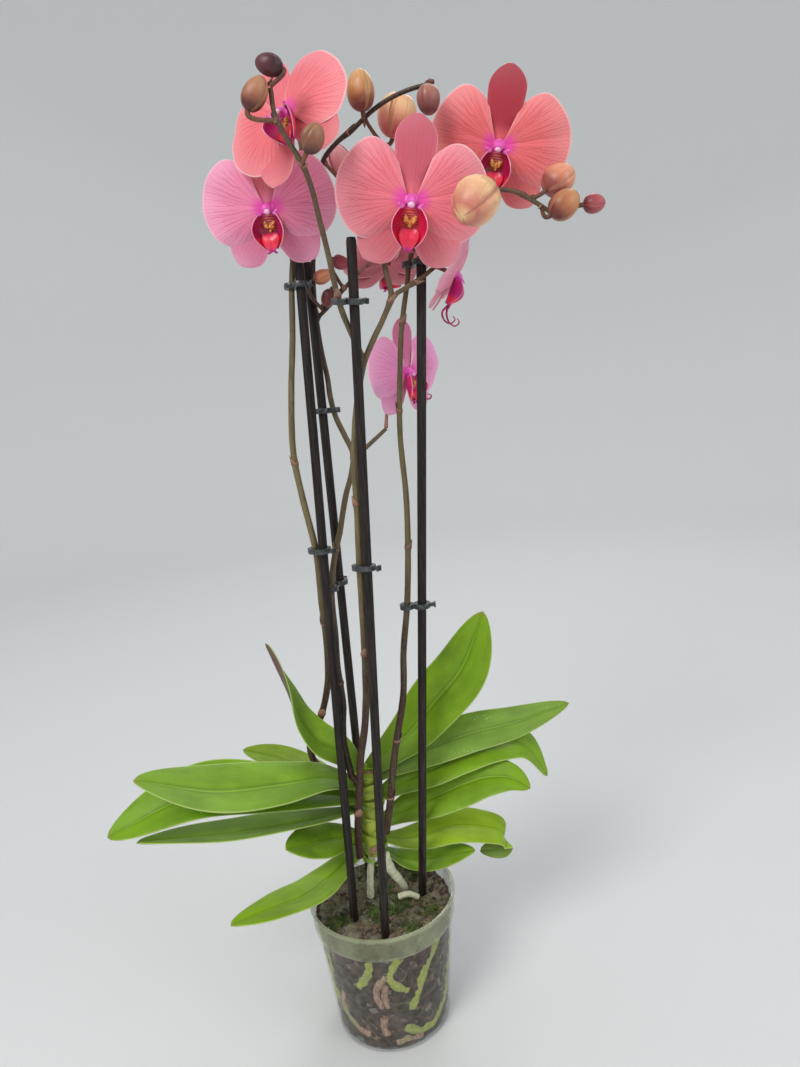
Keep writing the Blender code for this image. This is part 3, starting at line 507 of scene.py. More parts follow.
def leaf_look(name, tint, dusty):
    """A leaf's upper side: veins, a grooved rib, painted shade along the rib and at the foot, a pale
    margin, specks.
    """
    shade = tinted(tint, 0.42)
    look = Look(name, Specular_IOR_Level=0.28, Coat_Weight=0.04, Coat_Roughness=0.25)
    along, across = look.uv()
    off = look.from_middle(across)
    cloudy = look.noise(look.stretch_uv(2.2, 1.1), 1.7, 4.0)
    fine = look.noise(look.stretch_uv(3.0, 60.0), 6.0, 5.0, 0.65)
    blotch = look.remap(cloudy, 0.30, 0.72)
    colour = look.mix(blotch, tinted(tint, 0.68), tint)
    # Painted shade: the blade darkens towards its foot, where the leaves above shade it near the crown.
    depth = look.remap(along, 0.0, 0.35, 0.62, 0.0)
    colour = look.mix(depth, colour, tinted(shade, 0.45))
    wobble = look.noise(look.stretch_uv(2.5, 1.0), 2.0, 2.0)
    veins = look.lines(across, 34.0, 0.32, wobble, 0.03)
    colour = look.mix(look.times(veins, 0.22), colour, tinted(shade, 0.6))
    colour = look.mix(look.remap(fine, 0.55, 0.8, 0.0, 0.35), colour, tinted(tint, 1.35))
    rib = look.remap(off, 0.003, 0.016, 0.35, 0.0)
    colour = look.mix(rib, colour, tinted(tint, 1.15, 0.01))
    # Painted shade: dark bands along the walls of the midrib's groove, with the pale rib between them.
    near_rib = look.remap(off, 0.010, 0.024, 0.0, 1.0)
    painted_groove_shade = look.times(near_rib, look.remap(off, 0.024, 0.07, 0.35, 0.0))
    colour = look.mix(painted_groove_shade, colour, tinted(shade, 0.5))
    margin = look.remap(off, 0.472, 0.492, 0.0, 0.7)
    colour = look.mix(margin, colour, (0.50, 0.62, 0.20))
    tip = look.remap(along, 0.965, 1.0, 0.0, 0.5)
    colour = look.mix(tip, colour, (0.35, 0.30, 0.07))
    specks = look.cells(look.place(), 330.0)
    speck = look.times(look.remap(specks, 0.07, 0.16, 1.0, 0.0), look.remap(cloudy, 0.5, 0.6))
    colour = look.mix(look.times(speck, dusty), colour, (0.75, 0.78, 0.66))
    rough = look.remap(fine, 0.3, 0.8, 0.25, 0.46)
    height = look.plus(look.times(veins, -0.35), look.times(fine, 0.8))
    return look.finished(colour, rough, height, 0.35, 0.0006)


def under_leaf_look(name, tint, blush):
    look = Look(name, Specular_IOR_Level=0.35)
    _, across = look.uv()
    off = look.from_middle(across)
    cloudy = look.noise(look.place(), 30.0, 4.0)
    colour = look.mix(look.remap(cloudy, 0.4, 0.7), tint, blush)
    veins = look.lines(across, 30.0, 0.3, cloudy, 0.02)
    colour = look.mix(look.times(veins, 0.2), colour, tinted(tint, 0.55))
    colour = look.mix(look.remap(off, 0.0, 0.03, 0.6, 0.0), colour, tinted(tint, 1.4))
    return look.finished(colour, 0.55, look.times(veins, -1.0), 0.25, 0.0006)


def tepal_look(name, tint, rim, vein, flush, back=False):
    """Petals and sepals: branching veins, a pale rim and a flush of colour at the claw."""
    look = Look(name, Specular_IOR_Level=0.3, Sheen_Weight=0.06, Sheen_Roughness=0.5)
    look.set("Subsurface Weight", 0.12)
    look.set("Subsurface Radius", (0.004, 0.0015, 0.001))
    along, across = look.uv()
    off = look.from_middle(across)
    cloudy = look.noise(look.place(), 38.0, 4.0, 0.6)
    wobble = look.noise(look.stretch_uv(2.2, 3.0), 2.2, 3.0, 0.6)
    ripple = look.noise(look.stretch_uv(6.0, 9.0), 3.0, 3.0, 0.6)
    main = look.lines(across, 9.0, 0.10, wobble, 0.09)
    second = look.lines(across, 21.0, 0.14, ripple, 0.035)
    third = look.lines(across, 43.0, 0.20, ripple, 0.03)
    main = look.times(main, look.remap(along, 0.93, 0.55, 0.1, 1.0))
    grown = look.times(look.remap(along, 0.12, 0.4), look.remap(along, 1.0, 0.7, 0.1, 1.0))
    second = look.times(second, grown)
    third = look.times(third, look.times(look.remap(along, 0.35, 0.7), 0.55))
    net = look.math("MAXIMUM", look.math("MAXIMUM", main, second), third)
    mottled = look.remap(cloudy, 0.3, 0.72)
    colour = look.mix(mottled, tinted(tint, 0.92), tint)
    far_out = look.remap(along, 0.45, 1.0, 0.0, 0.5)
    outward = look.math("MAXIMUM", far_out, look.remap(off, 0.36, 0.5, 0.0, 0.3))
    colour = look.mix(outward, colour, rim)
    colour = look.mix(look.times(net, 0.30 if back else 0.46), colour, vein)
    inward = look.remap(along, 0.05, 0.25, 1.0, 0.0)
    colour = look.mix(look.times(inward, 0.85), colour, flush)
    edge = look.math("MAXIMUM", look.remap(along, 0.965, 0.99), look.remap(off, 0.485, 0.497))
    colour = look.mix(look.times(edge, 0.6), colour, (0.97, 0.66, 0.66))
    rough = look.remap(cloudy, 0.3, 0.7, 0.42, 0.6)
    grain = look.cells(look.place(), 1500.0)
    height = look.plus(look.times(net, -0.6), look.times(grain, 0.25))
    return look.finished(colour, rough, height, 0.4, 0.0004)


def lip_look(name, tint):
    """The lip: pale rolled rims, a deep striped throat, a bright floor and a magenta tip."""
    look = Look(name, Specular_IOR_Level=0.55, Coat_Weight=0.25, Coat_Roughness=0.2)
    along, across = look.uv()
    off = look.from_middle(across)
    cloudy = look.noise(look.place(), 120.0, 4.0)
    stripes = look.lines(along, 15.0, 0.22, cloudy, 0.05)
    floor_red = look.remap(along, 0.60, 0.74)
    colour = look.mix(floor_red, tint, (0.95, 0.022, 0.075))
    throat = look.times(stripes, look.remap(along, 0.62, 0.5, 0.0, 0.6))
    colour = look.mix(throat, colour, tinted(tint, 0.3))
    gold = look.times(look.remap(off, 0.05, 0.20, 1.0, 0.0), look.remap(along, 0.58, 0.40, 0.0, 0.9))
    colour = look.mix(look.times(gold, stripes), colour, (0.92, 0.46, 0.10))
    tip = look.remap(along, 0.86, 0.96)
    colour = look.mix(tip, colour, (0.62, 0.02, 0.26))
    top = look.remap(along, 0.0, 0.12, 0.75, 0.0)
    colour = look.mix(top, colour, (0.80, 0.10, 0.52))
    rim = look.remap(off, 0.470, 0.492)
    colour = look.mix(look.times(rim, 0.85), colour, (0.93, 0.36, 0.50))
    rough = look.remap(cloudy, 0.3, 0.7, 0.28, 0.45)
    return look.finished(colour, rough, look.plus(cloudy, look.times(stripes, -0.3)), 0.3, 0.0004)


def lobe_look(name, tint):
    """The lip's front lobe: bright red with a deeper middle line and a magenta tip."""
    look = Look(name, Specular_IOR_Level=0.5, Coat_Weight=0.2, Coat_Roughness=0.25)
    along, across = look.uv()
    off = look.from_middle(across)
    cloudy = look.noise(look.place(), 160.0, 4.0)
    colour = look.mix(look.remap(cloudy, 0.35, 0.65), (0.80, 0.012, 0.055), (0.97, 0.035, 0.09))
    colour = look.mix(look.remap(off, 0.0, 0.07, 0.6, 0.0), colour, tint)
    colour = look.mix(look.remap(along, 0.72, 0.95), colour, (0.66, 0.02, 0.28))
    colour = look.mix(look.remap(along, 0.0, 0.22, 0.9, 0.0), colour, tint)
    return look.finished(colour, 0.36, cloudy, 0.3, 0.0004)


def plain_look(name, tint, shade, rough, scale=150.0, **plain):
    """A living surface of two mixed tints with a fine grain."""
    look = Look(name, **plain)
    cloudy = look.noise(look.place(), scale, 4.0, 0.6)
    colour = look.mix(look.remap(cloudy, 0.35, 0.65), shade, tint)
    return look.finished(colour, rough, cloudy, 0.25, 0.0004)


def callus_look():
    look = Look("callus", Specular_IOR_Level=0.5, Coat_Weight=0.2)
    bands = look.lines(look.noise(look.place((1, 1, 2.4)), 160.0, 1.0), 7.0, 0.3, 0.0, 0.0)
    return look.finished(look.mix(bands, (0.88, 0.45, 0.10), (0.42, 0.02, 0.03)), 0.35)


def bud_look(name, base, middle, tip):
    look = Look(name, Specular_IOR_Level=0.5, Coat_Weight=0.10, Coat_Roughness=0.3)
    along, across = look.uv()
    cloudy = look.noise(look.place(), 110.0, 4.0, 0.6)
    drift = look.math("MULTIPLY_ADD", look.math("SUBTRACT", cloudy, 0.5), 0.35, along)
    colour = look.ramp(drift, [(0.04, base), (0.24, base), (0.46, middle), (0.80, tip), (1.0, middle)])
    lengthwise = look.noise(look.stretch_uv(1.4, 22.0), 2.0, 3.0, 0.6)
    streak = look.remap(lengthwise, 0.48, 0.70, 0.0, 0.45)
    colour = look.mix(streak, colour, tinted(middle, 0.5))
    thirds = look.math("FRACT", look.times(across, 3.0))
    seam = look.math("MINIMUM", thirds, look.math("SUBTRACT", 1.0, thirds))
    colour = look.mix(look.remap(seam, 0.0, 0.06, 0.7, 0.0), colour, tinted(base, 0.45))
    colour = look.mix(look.remap(seam, 0.03, 0.12, 0.0, 1.0), look.mix(0.35, colour, tip), colour)
    rough = look.remap(cloudy, 0.3, 0.7, 0.33, 0.52)
    return look.finished(colour, rough, look.plus(cloudy, look.times(lengthwise, 0.6)), 0.3, 0.0006)


def stem_look(name, low_tint, mid_tint, top_tint, low, high):
    """Spikes: dark at the foot, olive and finely speckled in the middle, darker towards the top."""
    look = Look(name, Specular_IOR_Level=0.4)
    height = look.remap(look.height(), low * MM, high * MM)
    cloudy = look.noise(look.place((1, 1, 0.35)), 130.0, 4.0, 0.6)
    drift = look.math("MULTIPLY_ADD", look.math("SUBTRACT", cloudy, 0.5), 0.45, height)
    stops = [(0.0, low_tint), (0.18, low_tint), (0.42, mid_tint), (0.75, mid_tint), (1.0, top_tint)]
    colour = look.ramp(drift, stops)
    side = look.noise(look.place((1, 1, 0.12)), 260.0, 2.0)
    colour = look.mix(look.remap(side, 0.5, 0.62, 0.0, 0.55), colour, tinted(mid_tint, 0.4, 0.01))
    specks = look.cells(look.place((1, 1, 0.6)), 900.0)
    colour = look.mix(look.remap(specks, 0.12, 0.3, 0.55, 0.0), colour, (0.30, 0.24, 0.10))
    dots = look.cells(look.place((1, 1, 0.7)), 620.0)
    colour = look.mix(look.remap(dots, 0.1, 0.22, 0.6, 0.0), colour, (0.05, 0.018, 0.014))
    rough = look.remap(cloudy, 0.3, 0.7, 0.38, 0.55)
    return look.finished(colour, rough, look.plus(look.times(side, 0.6), specks), 0.25, 0.0004)


def bract_look():
    look = Look("dry_bract", Specular_IOR_Level=0.25)
    along, _ = look.uv()
    streak = look.noise(look.stretch_uv(1.0, 20.0), 3.0, 3.0)
    colour = look.mix(look.remap(streak, 0.35, 0.65), (0.24, 0.12, 0.08), (0.42, 0.26, 0.18))
    colour = look.mix(look.remap(along, 0.0, 0.6, 0.9, 0.0), colour, (0.20, 0.07, 0.06))
    return look.finished(colour, 0.7, streak, 0.4, 0.0004)


def stake_look():
    look = Look("stake_brown_black", Specular_IOR_Level=0.25)
    grain = look.noise(look.place((1, 1, 0.05)), 700.0, 4.0, 0.6)
    dust = look.noise(look.place(), 240.0, 4.0, 0.65)
    colour = look.mix(look.remap(grain, 0.35, 0.7), (0.010, 0.007, 0.007), (0.034, 0.024, 0.021))
    colour = look.mix(look.remap(dust, 0.58, 0.75, 0.0, 0.3), colour, (0.065, 0.052, 0.045))
    dry = look.remap(look.height(), 0.16, 0.30)
    return look.finished(colour, look.math("MULTIPLY_ADD", dry, 0.30, 0.26), grain, 0.25, 0.0003)


def clip_look():
    look = Look("clip_dark_grey", Specular_IOR_Level=0.5, Coat_Weight=0.2, Coat_Roughness=0.15)
    worn = look.noise(look.place(), 420.0, 4.0, 0.6)
    colour = look.mix(look.remap(worn, 0.45, 0.7), (0.028, 0.031, 0.033), (0.075, 0.080, 0.082))
    return look.finished(colour, look.remap(worn, 0.3, 0.7, 0.24, 0.40), worn, 0.1, 0.0002)


def pot_look():
    """Clear plastic: see-through walls, milkier at the band, at the base and where seen edge-on."""
    look = Look("clear_pot_plastic", Specular_IOR_Level=0.8, Coat_Weight=0.5, Coat_Roughness=0.04)
    height = look.height()
    facing = look.node("ShaderNodeLayerWeight", {"Blend": 0.3}, 1)
    milky = look.remap(height, 0.0905, 0.0925)
    colour = look.mix(milky, (0.34, 0.36, 0.33), (0.46, 0.51, 0.30))
    cloud = look.remap(look.noise(look.place((1, 1, 0.5)), 45.0, 4.0, 0.6), 0.35, 0.7, 0.10, 0.28)
    band = look.times(milky, cloud)
    lip = look.remap(height, 0.1085, 0.1100, 0.0, 0.22)
    from_step = look.math("ABSOLUTE", look.math("SUBTRACT", height, 0.0925))
    edge = look.remap(from_step, 0.0004, 0.0014, 0.3, 0.0)
    foot = look.remap(height, 0.0, 0.008, 0.08, 0.0)
    haze = look.remap(look.noise(look.place((1, 1, 0.4)), 60.0, 4.0, 0.6), 0.45, 0.8, 0.0, 0.05)
    scratch = look.remap(look.noise(look.place((1, 1, 0.1)), 900.0, 2.0), 0.66, 0.74, 0.0, 0.08)
    see = look.plus(look.times(look.math("POWER", facing, 2.0), 0.45), 0.035)
    for extra in (band, lip, edge, foot, haze, scratch):
        see = look.math("ADD", see, extra, clamp=True)
    look.set("Alpha", see)
    return look.finished(colour, 0.08)


def medium_look(name, tints, mossy, moss):
    look = Look(name, Specular_IOR_Level=0.2)
    lumps = look.cells(look.place(), 150.0)
    grit = look.noise(look.place(), 420.0, 5.0, 0.7)
    fibres = look.noise(look.place((1, 1, 4)), 380.0, 3.0, 0.6, 1.5)
    shade = look.plus(look.times(lumps, 0.7), look.times(grit, 0.5))
    dark, mid, pale = tints
    colour = look.ramp(shade, [(0.15, dark), (0.45, mid), (0.85, pale)])
    colour = look.mix(look.remap(fibres, 0.58, 0.66, 0.0, 0.6), colour, (0.30, 0.23, 0.14))
    patches = look.remap(look.noise(look.place(), 38.0, 4.0, 0.6), 0.56, 0.66, 0.0, mossy)
    colour = look.mix(patches, colour, moss)
    return look.finished(colour, 0.92, look.plus(shade, fibres), 0.9, 0.0025)


def root_look(name, tint, shade):
    look = Look(name, Specular_IOR_Level=0.3, Sheen_Weight=0.1)
    flecks = look.noise(look.place((1, 1, 0.5)), 500.0, 4.0, 0.65)
    patches = look.noise(look.place(), 55.0, 3.0)
    colour = look.mix(look.remap(flecks, 0.4, 0.65), shade, tint)
    colour = look.mix(look.remap(patches, 0.55, 0.68, 0.0, 0.6), colour, (0.30, 0.34, 0.14))
    return look.finished(colour, 0.75, flecks, 0.4, 0.0005)


# ---------------------------------------------------------------- shapes


def smooth_path(knots, spacing):
    """Points about `spacing` apart on a smooth curve through the knots."""
    knots = np.array(knots, float)
    runs = np.linalg.norm(np.diff(knots, axis=0), axis=1)
    at = np.concatenate([[0.0], np.cumsum(runs)])
    slopes = np.gradient(knots, at, axis=0)
    wanted = np.linspace(0.0, at[-1], max(2, round(at[-1] / spacing) + 1))
    span = np.clip(np.searchsorted(at, wanted, side="right") - 1, 0, len(runs) - 1)
    length = runs[span][:, None]
    t = (wanted[:, None] - at[span][:, None]) / length
    return (
        (2 * t**3 - 3 * t**2 + 1) * knots[span]
        + (t**3 - 2 * t**2 + t) * length * slopes[span]
        + (3 * t**2 - 2 * t**3) * knots[span + 1]
        + (t**3 - t**2) * length * slopes[span + 1]
    )


def grid_normals(grid, closed=False):
    down = np.gradient(grid, axis=0)
    if closed:
        wide = np.concatenate([grid[:, -1:], grid, grid[:, :1]], axis=1)
        over = np.gradient(wide, axis=1)[:, 1:-1]
    else:
        over = np.gradient(grid, axis=1)
    normals = np.cross(down, over)
    return normals / np.maximum(np.linalg.norm(normals, axis=2, keepdims=True), 1e-9)


class Build:
    """Gathers the surfaces of one piece, with UVs (along, across) and material numbers."""

    def __init__(self):
        self.points = []
        self.faces = []
        self.uvs = []
        self.slots = []
        self.marked = None

    def mark(self):
        """What is added so far has the outline that the CAD node has."""
        self.marked = len(self.points)

    def add_points(self, points):
        """Adds points and gives the number of the first."""
        start = len(self.points)
        self.points.extend(np.asarray(points).reshape(-1, 3).tolist())
        return start

    def add_face(self, face, uv, slot, flip=False):
        self.faces.append(face[::-1] if flip else face)
        self.uvs.append(uv[::-1] if flip else uv)
        self.slots.append(slot)

    def grid(self, grid, slot=0, closed=False, flip=False):
        rows, columns = grid.shape[:2]
        start = self.add_points(grid)
        steps = columns if closed else columns - 1
        for row in range(rows - 1):
            for column in range(steps):
                near, far = start + row * columns, start + (row + 1) * columns
                after = (column + 1) % columns
                low, high = row / (rows - 1), (row + 1) / (rows - 1)
                left, right = column / steps, (column + 1) / steps
                uv = [(low, left), (low, right), (high, right), (high, left)]
                self.add_face([near + column, near + after, far + after, far + column], uv, slot, flip)

    def lid(self, ring, slot=0, flip=False, uv=(0.0, 0.5)):
        start = self.add_points(ring)
        self.add_face(list(range(start, start + len(ring))), [uv] * len(ring), slot, flip)

    def slab(self, grid, thickness, slot, under=None, rim=0.35):
        """A closed sheet that thins to `rim` of its thickness at its edges."""
        rows, columns = grid.shape[:2]
        normals = grid_normals(grid)
        near_row = np.minimum(np.arange(rows), np.arange(rows)[::-1])
        near_column = np.minimum(np.arange(columns), np.arange(columns)[::-1])
        near = np.minimum(near_row[:, None], near_column[None, :])
        full = np.where(near == 0, rim, np.where(near == 1, (1 + rim) / 2, 1.0))[:, :, None]
        top = grid + normals * full * thickness / 2
        bottom = grid - normals * full * thickness / 2
        under = slot if under is None else under
        self.grid(top, slot, flip=True)
        self.grid(bottom, under)
        self.strip(top[0], bottom[0], slot, 0.0, True)
        self.strip(top[-1], bottom[-1], slot, 1.0, False)
        self.strip(top[:, 0], bottom[:, 0], slot, None, False, 0.0)
        self.strip(top[:, -1], bottom[:, -1], slot, None, True, 1.0)

    def strip(self, upper, lower, slot, along, flip, across=None):
        """The edge band of a slab, with one of its UVs held at `along` or `across`."""
        count = len(upper)
        start = self.add_points(np.concatenate([upper, lower]))
        for step in range(count - 1):
            face = [start + step, start + step + 1, start + count + step + 1, start + count + step]
            low, high = step / (count - 1), (step + 1) / (count - 1)
            if across is None:
                uv = [(along, low), (along, high), (along, high), (along, low)]
            else:
                uv = [(low, across), (high, across), (high, across), (low, across)]
            self.add_face(face, uv, slot, flip)

    def tube(self, path, radii, sides=14, slot=0, rounded=True):
        """A tube with its own radius at each point and rounded or flat ends."""
        path = np.asarray(path, float)
        radii = np.broadcast_to(np.asarray(radii, float), (len(path),)).copy()
        if rounded:
            path, radii = rounded_ends(path, radii)
        ways = np.gradient(path, axis=0)
        ways /= np.maximum(np.linalg.norm(ways, axis=1, keepdims=True), 1e-9)
        side = np.cross(ways[0], (0.0, 0.0, 1.0))
        if np.linalg.norm(side) < 0.1:
            side = np.cross(ways[0], (1.0, 0.0, 0.0))
        angles = np.linspace(0.0, math.tau, sides, endpoint=False)
        rings = np.zeros((len(path), sides, 3))
        for row, (point, way, radius) in enumerate(zip(path, ways, radii)):
            side = side - way * side.dot(way)
            side /= np.linalg.norm(side)
            over = np.cross(way, side)
            ring = np.cos(angles)[:, None] * side + np.sin(angles)[:, None] * over
            rings[row] = point + radius * ring
        self.grid(rings, slot, closed=True)
        self.lid(rings[0], slot, flip=True, uv=(0.0, 0.5))
        self.lid(rings[-1], slot, uv=(1.0, 0.5))

    def egg(self, middle, radii, turn, slot, lumps, rows=14, columns=20):
        """A closed rounded body with its poles on its own Z axis, slightly uneven."""
        down = np.linspace(0.02, math.pi - 0.02, rows)[:, None]
        round_ = np.linspace(0.0, math.tau, columns, endpoint=False)[None, :]
        swell = 1.0 + lumps * np.sin(3 * round_ + 1.0) * np.sin(2 * down + 0.5)
        grid = np.stack(
            [
                swell * np.sin(down) * np.cos(round_) * radii[0],
                swell * np.sin(down) * np.sin(round_) * radii[1],
                -np.cos(down) * radii[2] + 0 * round_,
            ],
            axis=2,
        )
        grid = grid @ np.array(turn.to_3x3()).T + np.array(middle)
        self.grid(grid, slot, closed=True)
        self.lid(grid[0], slot, flip=True)
        self.lid(grid[-1], slot, uv=(1.0, 0.5))

    def made(self, name, node, slot_name, mats, sharp=40.0):
        """The piece itself, set where its CAD node is."""
        points = np.array(self.points) * MM
        if node is not None:
            low, high = (np.array(corner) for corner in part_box(node))
            known = points[: self.marked or len(points)]
            points = points + (low + high) / 2 - (known.min(0) + known.max(0)) / 2
        mesh = bpy.data.meshes.new(name)
        mesh.from_pydata(points.tolist(), [], self.faces)
        layer = mesh.uv_layers.new(name="UVMap")
        layer.data.foreach_set("uv", np.array([pair for uv in self.uvs for pair in uv]).ravel())
        for mat in mats:
            mesh.materials.append(mat)
        mesh.polygons.foreach_set("material_index", self.slots)
        mesh.validate()
        mesh.shade_smooth()
        mesh.set_sharp_from_angle(angle=math.radians(sharp))
        obj = bpy.data.objects.new(name, mesh)
        bpy.context.scene.collection.objects.link(obj)
        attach(obj, "root")
        if node is not None:
            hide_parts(node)
        return obj


def rounded_ends(path, radii):
    """Adds rings that close a tube's two ends as domes inside its own length."""
    ends = []
    for end, inner in ((0, 1), (-1, -2)):
        way = path[inner] - path[end]
        run = np.linalg.norm(way)
        way = way / run
        reach = min(radii[end], run * 0.9)
        angles = np.radians((12, 35, 60, 80))
        spots = [path[end] + way * reach * (1 - math.cos(math.pi / 2 - a)) for a in angles]
        sizes = [radii[end] * math.cos(math.pi / 2 - a) for a in angles]
        ends.append((spots, sizes))
    (first, first_sizes), (last, last_sizes) = ends
    first_path = [path[0] + (first[n] - path[0]) for n in range(4)]
    last_path = [last[n] for n in range(3, -1, -1)]
    path = np.array(first_path + list(path[1:-1]) + last_path)
    radii = np.array(first_sizes + list(radii[1:-1]) + last_sizes[::-1])
    return path, radii


def turned_grid(profile, segments, wave=None):
    """Rings about Z from a profile of (radius, height)."""
    angles = np.linspace(0.0, math.tau, segments, endpoint=False)
    grid = np.zeros((len(profile), segments, 3))
    for row, (radius, height) in enumerate(profile):
        reach = radius if wave is None else radius + wave(angles, height)
        grid[row, :, 0] = reach * np.cos(angles)
        grid[row, :, 1] = reach * np.sin(angles)
        grid[row, :, 2] = height
    return grid


def sheet(rows, columns, at):
    """The points at(down, over), where both run from 0 to 1."""
    overs = [column / (columns - 1) for column in range(columns)]
    return np.array([[at(row / (rows - 1), over) for over in overs] for row in range(rows)])


def fine_profile(profile, step):
    """The same outline with more points on its straight runs."""
    points = [profile[0]]
    for start, end in zip(profile, profile[1:]):
        count = max(1, round(math.dist(start, end) / step))
        for number in range(1, count + 1):
            share = number / count
            points.append(tuple(a + (b - a) * share for a, b in zip(start, end)))
    return points


# ---------------------------------------------------------------- pot and medium


def pot_radius(height):
    """The outer radius of the tapering body below the band."""
    top = POT_BAND_RADIUS - POT_STEP
    return POT_BASE_RADIUS + (top - POT_BASE_RADIUS) * height / (POT_HEIGHT - POT_BAND_HEIGHT)


def build_pot():
    band_foot = POT_HEIGHT - POT_BAND_HEIGHT
    lip = POT_HEIGHT - POT_LIP_HEIGHT
    shoulder = band_foot - POT_STEP
    profile = [
        (0.0, 0.0),
        (POT_BASE_RADIUS - 1.8, 0.0),
        (POT_BASE_RADIUS - 0.8, 0.3),
        (POT_BASE_RADIUS - 0.1, 1.1),
        (pot_radius(2.2), 2.2),
        (pot_radius(shoulder), shoulder),
        (pot_radius(shoulder) + 0.5, shoulder + 0.5),
        (POT_BAND_RADIUS - 0.7, band_foot - 0.5),
        (POT_BAND_RADIUS - POT_BAND_FLARE, band_foot + 0.1),
        (POT_BAND_RADIUS + POT_BAND_FLARE, lip - 0.2),
        (POT_RIM_RADIUS - 0.4, lip + 0.4),
        (POT_RIM_RADIUS, lip + 1.0),
        (POT_RIM_RADIUS, POT_HEIGHT - 0.8),
        (POT_RIM_RADIUS - 0.3, POT_HEIGHT - 0.2),
        (POT_RIM_RADIUS - 0.9, POT_HEIGHT),
        (POT_BAND_RADIUS - POT_WALL + 0.6, POT_HEIGHT),
        (POT_BAND_RADIUS - POT_WALL + 0.2, POT_HEIGHT - 0.4),
        (POT_BAND_RADIUS - POT_BAND_FLARE - POT_WALL, band_foot + 0.6),
        (pot_radius(shoulder) - POT_WALL, shoulder + 0.6),
        (pot_radius(POT_FLOOR) - POT_WALL, POT_FLOOR),
        (0.0, POT_FLOOR),
    ]
    build = Build()
    rings = turned_grid(fine_profile(profile[1:-1], 6.0), 144)
    build.grid(rings, closed=True)
    build.lid(rings[0], flip=True)
    build.lid(rings[-1])
    pot = build.made("clear_pot", "pot", "clear_plastic", [pot_look()], 35.0)
    for number in range(DRAIN_HOLES):
        angle = math.tau * number / DRAIN_HOLES
        hole = Build()
        across = DRAIN_CIRCLE_RADIUS * math.cos(angle)
        along = DRAIN_CIRCLE_RADIUS * math.sin(angle)
        hole.tube([(across, along, -2), (across, along, 6)], DRAIN_HOLE_RADIUS, 28, rounded=False)
        cut_hole(pot, hole)


def cut_hole(body, build):
    """Takes a closed shape out of a body for good."""
    mesh = bpy.data.meshes.new("cutter")
    mesh.from_pydata((np.array(build.points) * MM).tolist(), [], build.faces)
    cutter = bpy.data.objects.new("cutter", mesh)
    bpy.context.scene.collection.objects.link(cutter)
    hole = body.modifiers.new("hole", "BOOLEAN")
    hole.operation = "DIFFERENCE"
    hole.solver = "EXACT"
    hole.object = cutter
    graph = bpy.context.evaluated_depsgraph_get()
    done = bpy.data.meshes.new_from_object(body.evaluated_get(graph))
    body.modifiers.remove(hole)
    body.data = done
    bpy.data.objects.remove(cutter)


def lumps(angles, height, waves):
    """A smooth uneven surface from a few fixed waves."""
    total = 0.0
    for size, turns, rise, phase in waves:
        total = total + size * np.sin(turns * angles + rise * height + phase)
    return total


def medium_radius(height):
    """The outer radius of the medium at a height."""
    band_foot = POT_HEIGHT - POT_BAND_HEIGHT
    if height < band_foot - POT_STEP:
        return pot_radius(height) - MEDIUM_INSET
    return POT_BAND_RADIUS - POT_BAND_FLARE - MEDIUM_INSET


def build_medium():
    turns, rises, phases = (9, 17, 26, 41), (0.2, -0.35, 0.5, 0.9), (0, 1, 2, 4)
    waves = [(0.35, *wave) for wave in zip(turns, rises, phases)]
    band_foot = POT_HEIGHT - POT_BAND_HEIGHT
    band_reach = medium_radius(band_foot)
    profile = [
        (pot_radius(POT_FLOOR) - MEDIUM_INSET, POT_FLOOR + 0.3),
        (medium_radius(band_foot - 2.1), band_foot - POT_STEP),
        (band_reach, band_foot + 1.2),
        (band_reach, MEDIUM_TOP - 1.0),
        (band_reach - 3.0, MEDIUM_TOP),
    ]
    side = turned_grid(
        fine_profile(profile, 2.0), 180, lambda angles, height: lumps(angles, height, waves) - 0.9
    )
    build = Build()
    build.grid(side, closed=True)
    build.lid(side[0], flip=True)
    turns, rises, phases = (3, 7, 11, 5), (0.21, 0.33, -0.45, 0.6), (1, 3, 0, 5)
    top_waves = [(0.55, *wave) for wave in zip(turns, rises, phases)]
    rings = []
    rim = side[-1]
    for share in np.linspace(1.0, 0.02, 30):
        ring = rim.copy()
        ring[:, :2] *= share
        reach = np.hypot(ring[:, 0], ring[:, 1])
        angles = np.arctan2(ring[:, 1], ring[:, 0])
        fade = min(1.0, (1.0 - share) * 12)
        ring[:, 2] = MEDIUM_TOP + (lumps(angles, reach, top_waves) - 1.1) * fade
        rings.append(ring)
    build.grid(np.array(rings), 1, closed=True)
    build.lid(rings[-1], 1)
    wall_tints = ((0.018, 0.010, 0.010), (0.070, 0.045, 0.038), (0.17, 0.12, 0.10))
    top_tints = ((0.040, 0.034, 0.022), (0.165, 0.140, 0.092), (0.34, 0.31, 0.22))
    mats = [
        medium_look("medium_wall", wall_tints, 0.25, (0.12, 0.14, 0.04)),
        medium_look("medium_top", top_tints, 0.9, (0.045, 0.075, 0.02)),
    ]
    build.made("medium", "growing_medium", "bark_medium", mats, 60.0)


def chip_points(size):
    """The corners of a rough chip: a box with each corner moved at random."""
    corners = [(x, y, z) for x in (-1, 1) for y in (-1, 1) for z in (-1, 1)]
    return np.array(corners) * np.array(size) / 2 * rng.uniform(0.65, 1.1, (8, 3))


CHIP_FACES = [(0, 1, 3, 2), (4, 6, 7, 5), (0, 4, 5, 1), (2, 3, 7, 6), (0, 2, 6, 4), (1, 5, 7, 3)]


def add_chip(build, middle, size, slot, turn):
    start = build.add_points(chip_points(size) @ np.array(turn).T + np.array(middle))
    for face in CHIP_FACES:
        build.add_face([start + corner for corner in face], [(0, 0), (0, 1), (1, 1), (1, 0)], slot)


